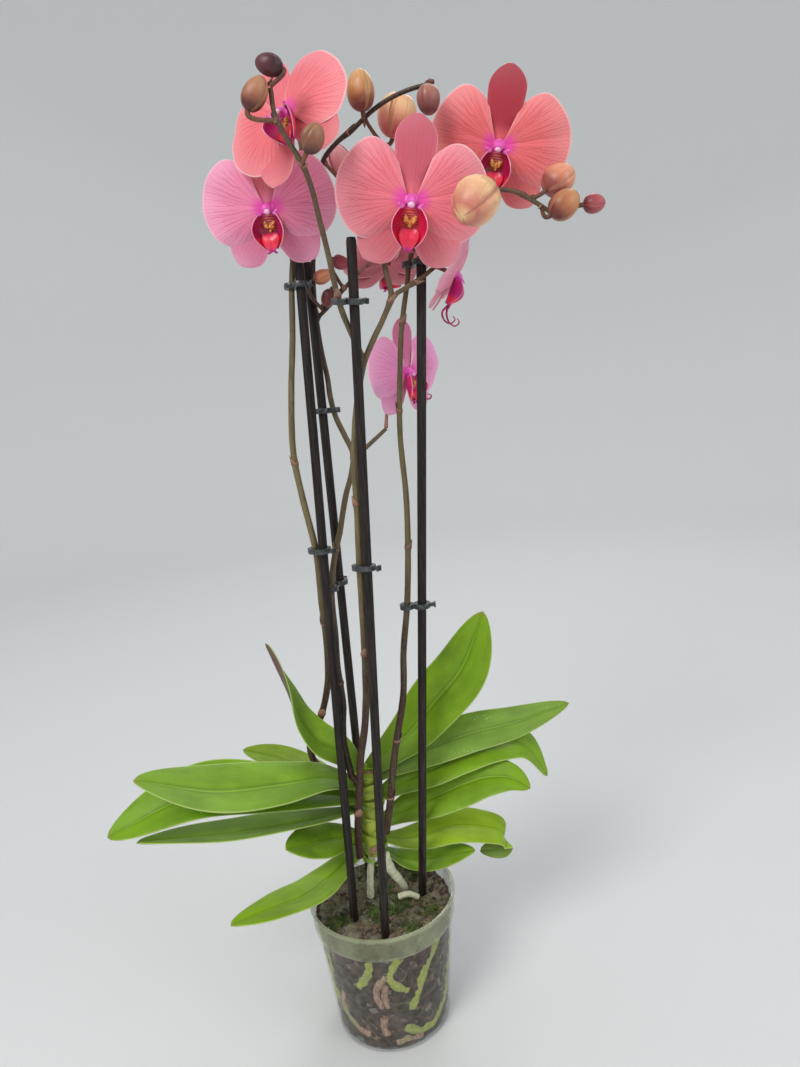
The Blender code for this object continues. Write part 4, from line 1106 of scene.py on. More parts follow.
# Roots against the wall: 0 green or 1 beige, half the width that shows, and (degrees round from +X,
# height) along each.
WALL_ROOTS = [
    (0, 3.1, [(-38, 90), (-46, 80), (-56, 66), (-62, 52), (-70, 38)]),
    (0, 3.0, [(-77, 91), (-84, 82), (-87, 72), (-80, 62), (-72, 57)]),
    (0, 2.9, [(-104, 90), (-105, 78), (-110, 70), (-117, 62)]),
    (1, 2.0, [(-90, 74), (-98, 66), (-101, 54), (-97, 44)]),
    (1, 1.9, [(-92, 66), (-94, 56), (-92, 44)]),
    (1, 2.3, [(-97, 33), (-98, 26), (-96, 16)]),
    (0, 3.2, [(-78, 22), (-62, 13), (-45, 12), (-28, 20), (-16, 36), (-13, 54)]),
    (1, 2.4, [(-88, 8), (-74, 9), (-60, 7)]),
    (0, 2.8, [(-2, 88), (4, 72), (-3, 60), (6, 44)]),
    (0, 2.6, [(38, 90), (44, 70), (36, 52), (46, 30)]),
    (1, 2.3, [(66, 60), (76, 44), (70, 26)]),
    (0, 3.0, [(96, 91), (104, 74), (98, 58), (110, 40), (106, 26)]),
    (1, 2.2, [(130, 80), (138, 62), (130, 46)]),
    (0, 2.8, [(158, 90), (150, 70), (160, 50), (176, 38)]),
    (0, 2.7, [(200, 88), (208, 66), (200, 48), (212, 30)]),
    (1, 2.3, [(224, 50), (216, 34), (228, 20), (246, 14)]),
]


# Middles of the tufts of moss, across and along the medium's surface.
MOSS_CLUSTERS = [
    (-8, -12), (-2, -22), (8, -16), (-34, -22), (22, -36),
    (38, -18), (-8, 42), (16, -6), (30, 28), (2, 12),
]


def build_litter():
    """Bark chips and coir threads on the surface and against the wall, moss, and roots on the wall."""
    bark = [
        plain_look("bark_dark", (0.085, 0.050, 0.038), (0.035, 0.020, 0.016), 0.85, 260.0),
        plain_look("bark_pale", (0.26, 0.17, 0.12), (0.12, 0.075, 0.055), 0.85, 260.0),
        plain_look("bark_grey", (0.24, 0.22, 0.19), (0.12, 0.10, 0.08), 0.9, 300.0),
    ]
    chips = Build()
    for _ in range(SURFACE_CHIPS):
        reach = 53.0 * math.sqrt(rng.uniform(0.0, 1.0))
        angle = rng.uniform(0, math.tau)
        level = MEDIUM_TOP - 0.7 + rng.uniform(-0.6, 0.8)
        spot = (reach * math.cos(angle), reach * math.sin(angle), level)
        tilt = Matrix.Rotation(rng.normal() * 0.35, 3, "X") @ Matrix.Rotation(rng.normal() * 0.35, 3, "Y")
        flat = tilt @ Matrix.Rotation(rng.uniform(0, math.tau), 3, "Z")
        add_chip(chips, spot, rng.uniform((1.5, 1.2, 0.6), (6.5, 4, 2.2)), rng.integers(3), flat)
    for _ in range(WALL_CHIPS):
        height = rng.uniform(5.0, MEDIUM_TOP - 3.0)
        angle = rng.uniform(0, math.tau)
        reach = medium_radius(height) - 1.6
        spot = (reach * math.cos(angle), reach * math.sin(angle), height)
        face_out = Matrix.Rotation(angle, 3, "Z") @ Matrix.Rotation(rng.uniform(0, math.tau), 3, "X")
        add_chip(chips, spot, rng.uniform((0.8, 2, 2), (2.6, 9, 6)), rng.integers(3), face_out)
    chips.made("bark_chips", None, "bark_medium", bark, 30.0)

    threads = Build()
    for _ in range(SURFACE_THREADS):
        angle = rng.uniform(0, math.tau)
        reach = 52.0 * math.sqrt(rng.uniform(0.0, 1.0))
        spot = np.array((reach * math.cos(angle), reach * math.sin(angle), MEDIUM_TOP + 0.2))
        heading = rng.uniform(0, math.tau)
        bend = rng.normal() * 0.5
        path = [spot]
        for _ in range(5):
            step = (math.cos(heading), math.sin(heading), rng.normal() * 0.12)
            path.append(path[-1] + np.array(step) * 2.2)
            heading += bend + rng.normal() * 0.2
        path = np.array(path)
        over = np.maximum(np.hypot(path[:, 0], path[:, 1]) / 54.0, 1.0)
        path[:, :2] /= over[:, None]
        path[:, 2] = np.clip(path[:, 2], MEDIUM_TOP - 0.8, MEDIUM_TOP + 1.4)
        threads.tube(path, rng.uniform(0.12, 0.28), 5)
    for _ in range(WALL_THREADS):
        height = rng.uniform(8.0, MEDIUM_TOP - 6.0)
        angle = rng.uniform(0, math.tau)
        slope = rng.normal() * 0.5
        path = []
        for step in range(7):
            level = min(max(height + slope * step * 2.0, 4.0), MEDIUM_TOP - 2.0)
            reach = medium_radius(level) - 0.25
            path.append((reach * math.cos(angle), reach * math.sin(angle), level))
            angle += 0.035
            slope += rng.normal() * 0.2
        threads.tube(path, rng.uniform(0.15, 0.32), 5)
    coir = plain_look("coir", (0.42, 0.30, 0.16), (0.2, 0.13, 0.07), 0.8)
    threads.made("coir_threads", None, "bark_medium", [coir])

    moss = Build()
    for cluster in MOSS_CLUSTERS:
        for _ in range(MOSS_BLADES):
            x, y = np.array(cluster) + rng.normal(size=2) * 4.2
            if math.hypot(x, y) > 53.5:
                continue
            lean = rng.normal(size=2) * 0.9
            tall = rng.uniform(1.2, 3.0)
            path = [
                (x, y, MEDIUM_TOP - 0.8),
                (x + lean[0] * 0.5, y + lean[1] * 0.5, MEDIUM_TOP + tall * 0.5),
                (x + lean[0] * 1.4, y + lean[1] * 1.4, MEDIUM_TOP - 0.4 + tall),
            ]
            moss.tube(path, (0.42, 0.34, 0.12), 4, rounded=False)
    mossy = plain_look("moss_green", (0.12, 0.19, 0.035), (0.045, 0.075, 0.012), 0.9)
    moss.made("moss", None, "bark_medium", [mossy])

    wall_roots = Build()
    for number, (stuff, half_seen, route) in enumerate(WALL_ROOTS):
        radius = 1.7 * half_seen
        path = []
        for degrees, level in smooth_path([(angle, level, 0) for angle, level in route], 1.5)[:, :2]:
            reach = medium_radius(level) - radius + 0.55
            around = math.radians(degrees)
            path.append((reach * math.cos(around), reach * math.sin(around), level))
        steps = np.arange(len(path))
        swell = radius * (1 + 0.06 * np.sin(steps * 0.35 + number) + 0.03 * np.sin(steps * 0.9))
        wall_roots.tube(path, swell, 16, stuff)
    wall_roots.made(
        "wall_roots",
        None,
        "root_white",
        [
            root_look("root_green", (0.46, 0.50, 0.13), (0.30, 0.35, 0.07)),
            root_look("root_beige", (0.52, 0.34, 0.24), (0.30, 0.18, 0.13)),
        ],
    )


# ---------------------------------------------------------------- stakes, clips, stems


def along_stake(name, height):
    foot, top = (Vector(end) for end in STAKES[name])
    return foot + (top - foot) * (height - foot.z) / (top.z - foot.z)


def build_stakes():
    mat = stake_look()
    for name, (_, top) in STAKES.items():
        low = np.array(along_stake(name, 20.0))
        high = np.array(top, float)
        path = [low + (high - low) * share for share in (0.0, 0.004, 0.25, 0.5, 0.75, 0.996, 1.0)]
        radii = [STAKE_RADIUS - 0.6] + [STAKE_RADIUS] * 5 + [STAKE_RADIUS - 0.5]
        build = Build()
        build.tube(path, radii, 28, rounded=False)
        build.made(name + "_rod", name, "stake_plastic", [mat], 50.0)


def stem_path(name, spacing=3.0):
    coarse = smooth_path(STEMS[name].route, 15.0)
    return smooth_path(coarse, spacing)


def stem_at_height(name, height):
    path = stem_path(name)
    stem = STEMS[name]
    for number, (low, high) in enumerate(zip(path, path[1:])):
        if low[2] <= height <= high[2]:
            share = (height - low[2]) / (high[2] - low[2])
            along = (number + share) / (len(path) - 1)
            radius = stem.foot_radius + (stem.end_radius - stem.foot_radius) * along
            return Vector(low + (high - low) * share), radius, Vector(high - low).normalized()
    return Vector(path[-1]), stem.end_radius, Vector((0, 0, 1))


def build_stems():
    bract = bract_look()
    olive_tints = ((0.050, 0.020, 0.015), (0.175, 0.135, 0.060), (0.095, 0.050, 0.030))
    olive = stem_look("stem_olive", *olive_tints, 150, 690)
    dark_tints = ((0.040, 0.018, 0.015), (0.130, 0.092, 0.044), (0.045, 0.026, 0.022))
    dark = stem_look("stem_dark", *dark_tints, 200, 640)
    for name, stem in STEMS.items():
        path = stem_path(name)
        shares = np.linspace(0.0, 1.0, len(path))
        radii = stem.foot_radius + (stem.end_radius - stem.foot_radius) * shares
        radii = radii * (1 + 0.02 * np.sin(np.arange(len(path)) * 0.7 + len(name)))
        for height, _ in JOINTS.get(name, ()):
            away = np.abs(path[:, 2] - height)
            radii = radii + 0.40 * np.exp(-((away / 2.0) ** 2))
        build = Build()
        build.tube(path, radii, 18)
        build.mark()
        if name in FORKS:
            joint = np.array(FORKS[name], float)
            route = [joint, (joint + path[0]) / 2, path[0], path[1]]
            build.tube(route, (1.9, 1.8, radii[0], radii[0]), 14)
        for height, turn in JOINTS.get(name, ()):
            add_bract(build, name, height, turn)
        mat = dark if name in ("spike_b", "branch_k", "branch_d") else olive
        build.made(name + "_stem", name, "stem_brown", [mat, bract])


def add_bract(build, name, height, turn):
    """A dry sheath round a joint that rises to a point on one side."""
    point, radius, way = stem_at_height(name, height)
    turned = way.to_track_quat("Z", "Y").to_matrix() @ Matrix.Rotation(math.radians(turn), 3, "Z")

    def at(share, over):
        angle = math.radians(-150 + 300 * over)
        tall = 1.3 + 6.2 * max(0.0, math.cos(angle / 2)) ** 9
        reach = radius + 0.5 + 0.5 * share**2 * max(0.0, math.cos(angle))
        local = (reach * math.cos(angle), reach * math.sin(angle), -0.7 + tall * share)
        return point + turned @ Vector(local)

    build.slab(sheet(7, 20, at), 0.35, 1)


def ring_grid(middle_x, inner, outer, half, columns=36):
    """A rounded band about the local Z axis."""
    edge = 0.35
    profile = [
        (inner + edge, -half),
        (outer - edge, -half),
        (outer - 0.1, -half + 0.1),
        (outer, -half + edge),
        (outer, half - edge),
        (outer - 0.1, half - 0.1),
        (outer - edge, half),
        (inner + edge, half),
        (inner + 0.1, half - 0.1),
        (inner, half - edge),
        (inner, -half + edge),
        (inner + 0.1, -half + 0.1),
        (inner + edge, -half),
    ]
    grid = turned_grid(profile, columns)
    grid[:, :, 0] += middle_x
    return grid


def bar_grid(start, end, half_width, half_height, waist=1.0):
    """A bar along local X with rounded long edges; its waist is narrower."""
    stations = np.linspace(start, end, 9)
    ring = []
    for corner, (y, z) in enumerate(((-1, -1), (1, -1), (1, 1), (-1, 1))):
        for step in range(4):
            angle = math.radians(225 + 90 * corner - 45 + 30 * step)
            wide = y * (half_width - 0.5) + 0.5 * math.cos(angle)
            ring.append((wide, z * (half_height - 0.5) + 0.5 * math.sin(angle)))
    grid = np.zeros((len(stations), len(ring), 3))
    for row, x in enumerate(stations):
        pinch = 1 - (1 - waist) * math.sin(math.pi * row / (len(stations) - 1))
        grid[row] = [(x, y * pinch, z) for y, z in ring]
    return grid


def build_clips():
    mat = clip_look()
    for name, (stake, stem, height) in CLIPS.items():
        stake_point = along_stake(stake, height)
        stem_point, stem_radius, stem_way = stem_at_height(stem, height)
        reach = (stem_point - stake_point).length
        half = CLIP_HEIGHT / 2
        across = (stem_point - stake_point).normalized()
        up = (along_stake(stake, height + 10) - stake_point).normalized() + stem_way
        up = (up - across * up.dot(across)).normalized()
        turn = np.array(Matrix((across, up.cross(across), up)))
        stake_inner = STAKE_RADIUS + 0.15
        stem_inner = stem_radius + 0.25
        outline = [
            (ring_grid(0.0, stake_inner, STAKE_RADIUS + 3.0, half), True),
            (ring_grid(reach, stem_inner, stem_radius + 3.0, half), True),
            (bar_grid(STAKE_RADIUS + 1.5, reach - stem_inner - 0.6, 2.0, half - 0.7, 0.75), True),
            (bar_grid(-STAKE_RADIUS - 7.0, -stake_inner - 0.6, 1.5, half - 0.6, 0.85), True),
            (bar_grid(-STAKE_RADIUS - 7.0, -STAKE_RADIUS - 5.6, 2.4, half - 0.1), True),
            (bar_grid(reach * 0.5 - 0.8, reach * 0.5 + 0.8, 2.6, half - 0.2), True),
        ]
        build = Build()
        for grid, closed in outline:
            grid = grid @ turn + np.array(stake_point)
            build.grid(grid, closed=closed)
            if grid.shape[1] == 16:
                build.lid(grid[0], flip=True)
                build.lid(grid[-1])
        build.made(name + "_clip", name, "clip_plastic", [mat], 35.0)


# ---------------------------------------------------------------- leaves, crown, roots


def blade_width(along, widest, base=0.3):
    if along < widest:
        return base + (1.0 - base) * math.sin(math.pi / 2 * along / widest)
    return max(0.012, math.cos(math.pi / 2 * (along - widest) / (1.0 - widest)) ** 0.6)


def blade_grid(leaf, rows, columns, phase):
    """Leaf surface points, with a grooved midrib and faintly waved edges."""
    knots = smooth_path(leaf.spine, 1.0)
    spots = (np.linspace(0, 1, rows) ** 0.97) * (len(knots) - 1)
    tangents = np.gradient(knots, axis=0)
    rise = math.tan(math.radians(leaf.fold))
    first = Vector(tangents[0]).normalized()
    side = first.cross(Vector((0, 0, 1)))
    side = side if side.y > 0 else -side
    grid = np.zeros((rows, columns, 3))
    length = len(knots)
    for row, spot in enumerate(spots):
        along = spot / (length - 1)
        point, tangent = (
            [np.interp(spot, np.arange(length), line[:, axis]) for axis in range(3)]
            for line in (knots, tangents)
        )
        tangent = Vector(tangent).normalized()
        side = (side - tangent * side.dot(tangent)).normalized()
        handed = 1 if tangent.cross(side).z > 0 else -1
        roll = leaf.roll[0] + (leaf.roll[1] - leaf.roll[0]) * along
        across = Matrix.Rotation(math.radians(roll) * handed, 3, tangent) @ side
        normal = tangent.cross(across) * handed
        half = blade_width(along, leaf.widest) * leaf.width / 2
        for column in range(columns):
            share = 2 * column / (columns - 1) - 1
            share = math.copysign(abs(share) ** 0.9, share)
            lift = rise * (math.sqrt(share**2 + 0.012) - 0.11) * half
            lift -= 0.9 * math.exp(-((share * half / 1.3) ** 2)) * min(1.0, 4 * along) * (1 - along * 0.6)
            lift += 0.02 * half * math.sin(13 * along + phase) * share**2
            lift += 0.6 * math.sin(math.pi * abs(share)) * min(1.0, half / 12)
            grid[row, column] = Vector(point) + across * share * half + normal * lift
    return grid


def sheath_grid(blade, rows=12):
    """The leaf's foot: from the blade's first row back to a half ring that clasps the crown."""
    foot = blade[0]
    middle = foot[len(foot) // 2]
    axis = np.array((CROWN_AXIS[0], CROWN_AXIS[1], middle[2]))
    out = middle - axis
    facing = math.atan2(out[1], out[0])
    front = foot[0] - middle
    side = 1 if out[0] * front[1] - out[1] * front[0] > 0 else -1
    grid = np.zeros((rows, len(foot), 3))
    for column, point in enumerate(foot):
        across = 2 * column / (len(foot) - 1) - 1
        angle = facing - side * across * math.radians(SHEATH_WRAP)
        reach = CROWN_RADIUS + 1.5
        hold = axis + np.array((reach * math.cos(angle), reach * math.sin(angle), -7.0 + 3.0 * across**2))
        bend = (point + hold) / 2 + 0.22 * out * (1 - across**2) + np.array((0, 0, -1.5))
        for row in range(rows):
            share = row / (rows - 1)
            grid[row, column] = hold * (1 - share) ** 2 + bend * 2 * share * (1 - share) + point * share**2
    return grid


def build_leaves():
    under = under_leaf_look("leaf_under", (0.22, 0.34, 0.05), (0.26, 0.36, 0.09))
    pale_sheath = plain_look("leaf_sheath", (0.34, 0.50, 0.035), (0.20, 0.34, 0.015), 0.42, 60.0)
    blushed = under_leaf_look("leaf_under_blushed", (0.14, 0.15, 0.05), (0.16, 0.07, 0.08))
    for number, (name, leaf) in enumerate(LEAVES.items()):
        tint = LEAF_TINTS.get(name, LEAF_TINT)
        dusty = 0.85 if name in ("leaf_left_2", "leaf_right_2", "leaf_left_3") else 0.25
        top = leaf_look(name + "_skin", tint, dusty)
        grid = blade_grid(leaf, 84, 27, 1.7 * number)
        build = Build()
        upward = grid_normals(grid)[..., 2].mean() > 0
        if name == "leaf_left_7":
            upward = False
        sheath = sheath_grid(grid)
        if not upward:
            grid, sheath = grid[:, ::-1], sheath[:, ::-1]
        build.slab(grid, LEAF_THICKNESS, 0, 1)
        build.mark()
        build.slab(sheath, LEAF_THICKNESS - 0.2, 2, 1)
        mats = [top, blushed if name == "leaf_left_7" else under, pale_sheath]
        build.made(name + "_blade", name, "leaf_green", mats, 60.0)


def build_crown():
    path = smooth_path(CROWN_PATH, 2.0)
    shares = np.linspace(0, 1, len(path))
    radii = CROWN_RADIUS - 2.0 * shares + 0.5 * np.sin(shares * 40)
    build = Build()
    build.tube(path, radii, 36)
    build.mark()
    mats = [
        plain_look("crown_green", (0.42, 0.50, 0.06), (0.22, 0.31, 0.02), 0.5, 90.0),
        bract_look(),
    ]
    for number in range(9):
        foot = 147 + 7.0 * number
        facing = 180.0 * (number % 2) + 17.0 * number

        def at(share, over):
            turn = -115 + 230 * over
            angle = math.radians(facing + turn)
            tall = 9.0 + 4.0 * math.cos(math.radians(turn))
            reach = CROWN_RADIUS - 0.2 * number + 0.3 + 1.6 * share**1.5
            x, y = CROWN_AXIS
            return x + reach * math.cos(angle), y + reach * math.sin(angle), foot + tall * share

        build.slab(sheet(8, 22, at), 0.8, 0 if number % 4 else 1)
    build.made("crown", "crown_stem", "leaf_green", mats, 60.0)


def build_roots():
    mats = [root_look("root_silver", (0.78, 0.76, 0.58), (0.56, 0.57, 0.38))]
    for number, (name, (knots, top_radius, foot_radius)) in enumerate(ROOTS.items()):
        path = smooth_path(smooth_path(knots, 9.0), 1.2)
        shares = np.linspace(0, 1, len(path))
        radii = top_radius + (foot_radius - top_radius) * shares
        radii = radii * (1 + 0.05 * np.sin(shares * 22 + number) + 0.04 * np.sin(shares * 51))
        build = Build()
        build.tube(path, radii, 18)
        build.made(name + "_aerial", name, "root_white", mats, 60.0)


# ---------------------------------------------------------------- flowers


def moved(grid, matrix):
    flat = grid.reshape(-1, 3) @ np.array(matrix.to_3x3()).T + np.array(matrix.translation)
    return flat.reshape(grid.shape)


def petal_grid(rings, spokes, phase):
    """A broad petal as rings about its claw, cupped, with a waved edge."""
    reach = smooth_path([(PETAL_STEP * n, r, 0) for n, r in enumerate(PETAL_RADII)], 0.5)
    angles = np.linspace(math.radians(PETAL_LOW_ANGLE), math.radians(PETAL_HIGH_ANGLE), spokes + 1)
    outer = np.interp(np.linspace(0, reach[-1, 0], spokes + 1), reach[:, 0], reach[:, 1])
    outer = outer * (1 + 0.006 * np.sin(np.linspace(0, 17, spokes + 1) + phase))
    grid = np.zeros((rings + 1, spokes + 1, 3))
    for ring in range(rings + 1):
        share = ring / rings
        radius = 2.0 + (outer - 2.0) * share
        grid[ring, :, 0] = radius * np.cos(angles)
        grid[ring, :, 1] = radius * np.sin(angles)
        cup = -5.0 * share**2 + 1.6 * math.sin(math.pi * share) ** 1.3
        wave = (1.5 * np.sin(5.2 * angles + phase) + 0.5 * np.sin(13 * angles + 2 * phase)) * share**3
        crease = -0.7 * np.exp(-(((angles - 0.25) / 0.10) ** 2)) * math.sin(math.pi * share)
        grid[ring, :, 2] = cup + wave + crease
    return grid


def sepal_width(along):
    if along < 0.7:
        return 0.3 + 0.7 * math.sin(math.pi / 2 * along / 0.7)
    return max(0.02, max(0.0, 1.0 - ((along - 0.7) / 0.3) ** 2) ** 0.7)


def sepal_grid(length, width, phase):
    """A sepal along +Y with its base at the origin and a shallow keel."""

    def at(down, over):
        along = 1 - (1 - down) ** 1.25
        across = 2 * over - 1
        lift = SEPAL_BEND * along**2 - 1.2 * across**2 * math.sin(math.pi * along)
        lift += 0.4 * math.sin(9 * along + phase) * across**2
        lift += 0.5 * math.exp(-((across / 0.12) ** 2)) * (1 - along)
        return across * (width / 2 * sepal_width(along)), along * length, lift

    return sheet(35, 19, at)


def bloom_grids(phase):
    """Petals then sepals of a 90 mm flower that faces +Z with its dorsal sepal along +Y."""
    right = moved(petal_grid(30, 54, phase), Matrix.Translation((2, 1, 0.8)))
    other = moved(petal_grid(30, 54, phase + 2.1), Matrix.Translation((2, 1, 0.8)))
    left = other[:, ::-1] * np.array((-1, 1, 1))
    petals = [right, left]
    dorsal = moved(sepal_grid(*DORSAL_SEPAL, phase), Matrix.Translation((0, 1, -1.2)))
    sides = []
    for turn in (-SIDE_SEPAL_TURN, SIDE_SEPAL_TURN):
        place = Matrix.Translation((0, -1, -1.2)) @ Matrix.Rotation(math.radians(turn), 4, "Z")
        sides.append(moved(sepal_grid(*SIDE_SEPAL, phase + turn), place))
    return petals, dorsal, sides


def lip_grid():
    """The lip: an open cup below the column whose rims roll inwards towards the top."""

    def at(down, over):
        turn = math.pi * (over - 0.5) * (1.0 + 0.26 * (1 - down) ** 1.5)
        half = LIP_REACH * math.sin(math.pi * (0.12 + 0.8 * down)) ** 0.7
        depth = LIP_REACH * math.sin(math.pi * (0.15 + 0.75 * down))
        rise = 1.5 + depth * (1.0 - math.cos(turn)) + 3.0 * down
        return half * math.sin(turn), -2.0 - LIP_LENGTH * down, rise

    return sheet(31, 31, at)


def front_lobe_grid():
    """The lip's front lobe: a small arrowhead that swells over the cup's lower floor."""

    def at(down, over):
        across = 2 * over - 1
        half = 7.6 * (math.sin(math.pi * min(1.0, 0.22 + 0.62 * down)) ** 0.9) * (1 - 0.55 * down)
        swell = 3.2 * math.sin(math.pi * down) * (1 - across**2) + 2.6 * abs(across) ** 1.5
        return half * across, -15.5 - 12.5 * down, 6.2 + swell + down

    return sheet(16, 17, at)


def flower_frame(middle, facing, roll):
    """Local +Z faces out of the flower and local +Y is its dorsal side."""
    turn = Matrix.Rotation(math.radians(facing[0]), 4, "Z")
    tilt = Matrix.Rotation(math.radians(90 - facing[1]), 4, "X")
    spin = Matrix.Rotation(math.radians(roll), 4, "Z")
    return Matrix.Translation(middle) @ turn @ tilt @ spin


def stalk_path(start, heading, joint, clearance, steps=14):
    """A stalk that leaves along a heading and bends to a joint."""
    start, joint = Vector(start), Vector(joint)
    bend = start + Vector(heading).normalized() * (joint - start).length * 0.45
    end = joint + (bend - joint).normalized() * clearance
    points = []
    for step in range(steps + 1):
        t = step / steps
        points.append(start * (1 - t) ** 2 + bend * 2 * t * (1 - t) + end * t**2)
    return np.array(points)


def build_flowers():
    callus = callus_look()
    anther = plain_look("anther_cap", (0.95, 0.62, 0.80), (0.88, 0.36, 0.62), 0.35, 300.0, Coat_Weight=0.3)
    lilacs = ((0.90, 0.22, 0.66), (0.80, 0.08, 0.48))
    column = plain_look("column_lilac", *lilacs, 0.35, 160.0, Coat_Weight=0.2)
    stalk_tints = ((0.30, 0.12, 0.10), (0.36, 0.16, 0.12), (0.34, 0.12, 0.10))
    stalk_mat = stem_look("flower_stalk", *stalk_tints, 480, 720)
    tendril_mat = plain_look("tendril_magenta", (0.55, 0.05, 0.20), (0.34, 0.02, 0.09), 0.35, 300.0)
    for number, (name, flower) in enumerate(FLOWERS.items()):
        tint, rim, vein, dorsal_tint, lip_tint = FLOWER_TINTS[name]
        flush = (0.90, 0.07, 0.50)
        petal = tepal_look(name + "_petal", tint, rim, vein, flush)
        back = tepal_look(name + "_back", tinted(tint, 0.88), rim, vein, tint, True)
        sepal = tepal_look(name + "_sepal", tinted(tint, 0.86), rim, vein, (0.86, 0.22, 0.30))
        dorsal = tepal_look(name + "_dorsal", dorsal_tint, tinted(dorsal_tint, 0.9, 0.1), vein, tint)
        mats = [petal, back, sepal, dorsal, lip_look(name + "_lip", lip_tint), column, anther, callus]
        mats += [stalk_mat, tendril_mat, lobe_look(name + "_lobe", lip_tint)]
        place = flower_frame(flower.middle, flower.facing, flower.roll) @ Matrix.Scale(flower.size, 4)
        build = Build()
        petals, dorsal_shape, sides = bloom_grids(1.3 * number)
        for grid in petals:
            build.slab(moved(grid, place), TEPAL_THICKNESS, 0, 1)
        build.slab(moved(dorsal_shape, place)[:, ::-1], TEPAL_THICKNESS, 3, 1)
        for grid in sides:
            build.slab(moved(grid, place)[:, ::-1], TEPAL_THICKNESS, 2, 1)
        build.slab(moved(lip_grid(), place), 0.7, 4, rim=0.8)
        away = place.to_3x3() @ Vector((0, 0, -1))
        stalk = stalk_path(place @ Vector((0, 0, -1)), away, flower.joint, FLOWER_STALK_GAP)
        build.tube(stalk, np.linspace(1.7, 1.3, len(stalk)), 14, 8)
        build.mark()
        end = np.array(flower.joint, float)
        build.tube([stalk[-2], stalk[-1], (stalk[-1] + end) / 2, end], (1.3, 1.35, 1.5, 1.6), 14, 8)
        add_flower_heart(build, place)
        if name in TENDRILS:
            add_tendrils(build, place, TENDRILS[name])
        build.made(name + "_bloom", name, "petal_coral", mats, 50.0)


def local_tube(build, place, path, radii, sides, slot):
    """A tube whose route and radii are in the flower's own frame."""
    scale = place.to_scale()[0]
    fine = smooth_path(path, 0.6)
    sizes = np.interp(np.linspace(0, 1, len(fine)), np.linspace(0, 1, len(radii)), radii) * scale
    build.tube(moved(fine[None], place)[0], sizes, sides, slot)


def add_flower_heart(build, place):
    """The column with its cap, the callus, the front lobe and its two horns."""
    turn = place.to_3x3().normalized()
    scale = place.to_scale()[0]
    column = [(0, 2.0, -1), (0, 1.6, 2), (0, 0.4, 5), (0, -1.2, 7.4)]
    local_tube(build, place, column, (2.9, 3.1, 3.1, 2.5), 22, 5)
    build.egg(place @ Vector((0, -1.6, 8.0)), np.array((2.2, 1.9, 1.7)) * scale, turn, 6, lumps=0.04)
    build.egg(place @ Vector((0, 1.4, 0.8)), np.array((4.4, 3.8, 2.0)) * scale, turn, 5, lumps=0.05)
    for side in (-1, 1):
        spot = place @ Vector((2.4 * side, -10.2, 5.4))
        splayed = turn @ Matrix.Rotation(-0.45 * side, 3, "Z")
        build.egg(spot, np.array((1.7, 2.9, 2.2)) * scale, splayed, 7, lumps=0.10)
        horn = [(5.0, -3.2, 8), (6.6, -1.6, 9), (7.6, -1.0, 10.4), (6.8, -2.0, 11.5)]
        horn = [(side * x, y, z) for x, y, z in horn]
        local_tube(build, place, horn, (1.4, 1.1, 0.7, 0.35), 12, 5)
        tip = [(1.0 * side, -27, 7.4), (2.6 * side, -28.6, 8.6), (3.9 * side, -28.2, 9.8)]
        local_tube(build, place, tip, (1.1, 0.7, 0.25), 10, 9)
    build.egg(place @ Vector((0, -12.4, 4.4)), np.array((1.3, 3.2, 1.6)) * scale, turn, 7, lumps=0.1)
    build.slab(moved(front_lobe_grid(), place), 0.9, 10, rim=0.6)


def add_tendrils(build, place, curl):
    """Two long thin tendrils from the lip's tip that end in a hook."""
    for side in (-1, 1):
        path = [
            (1.0 * side, -27.0, 8.0),
            (2.5 * side, -34.0 * (0.5 + 0.5 * curl), 8.0 + 2 * side),
            (4.0 * side, -40.0 * (0.4 + 0.6 * curl), 14.0 + 3 * side),
            (5.0 * side, -40.0 * (0.4 + 0.6 * curl), 20.0 + 2 * side),
            (5.0 * side, -35.0 * (0.4 + 0.6 * curl), 22.0 + 2 * side),
            (4.5 * side, -33.0 * (0.4 + 0.6 * curl), 18.5 + 2 * side),
        ]
        local_tube(build, place, path, (1.3, 1.1, 0.9, 0.8, 0.7, 0.4), 10, 9)


# ---------------------------------------------------------------- buds


def bud_grid(bud, seams, rows=40, columns=72):
    """An egg of three sepals whose seams sink in and meet at a blunt tip."""
    down = np.linspace(0.03, math.pi - 0.03, rows)[:, None]
    round_ = np.linspace(0.0, math.tau, columns, endpoint=False)[None, :]
    thirds = np.abs(((round_ * 3 / math.tau) % 1.0) - 0.5) * 2
    sink = seams * np.exp(-(((1 - thirds) / 0.16) ** 2))
    flat = 0.03 * np.cos(3 * round_ + math.pi)
    lobed = 1.0 - sink * np.sin(down) ** 0.5 * (0.4 + 0.6 * down / math.pi) - flat
    egg = np.sin(down) * (1.0 + 0.10 * np.cos(down))
    across = bud.width / 2 * egg * lobed
    along = -np.cos(down) * bud.length / 2 * (1 + 0.02 * np.sin(down)) + 0 * round_
    return np.stack([across * np.cos(round_), across * np.sin(round_), along], axis=2)


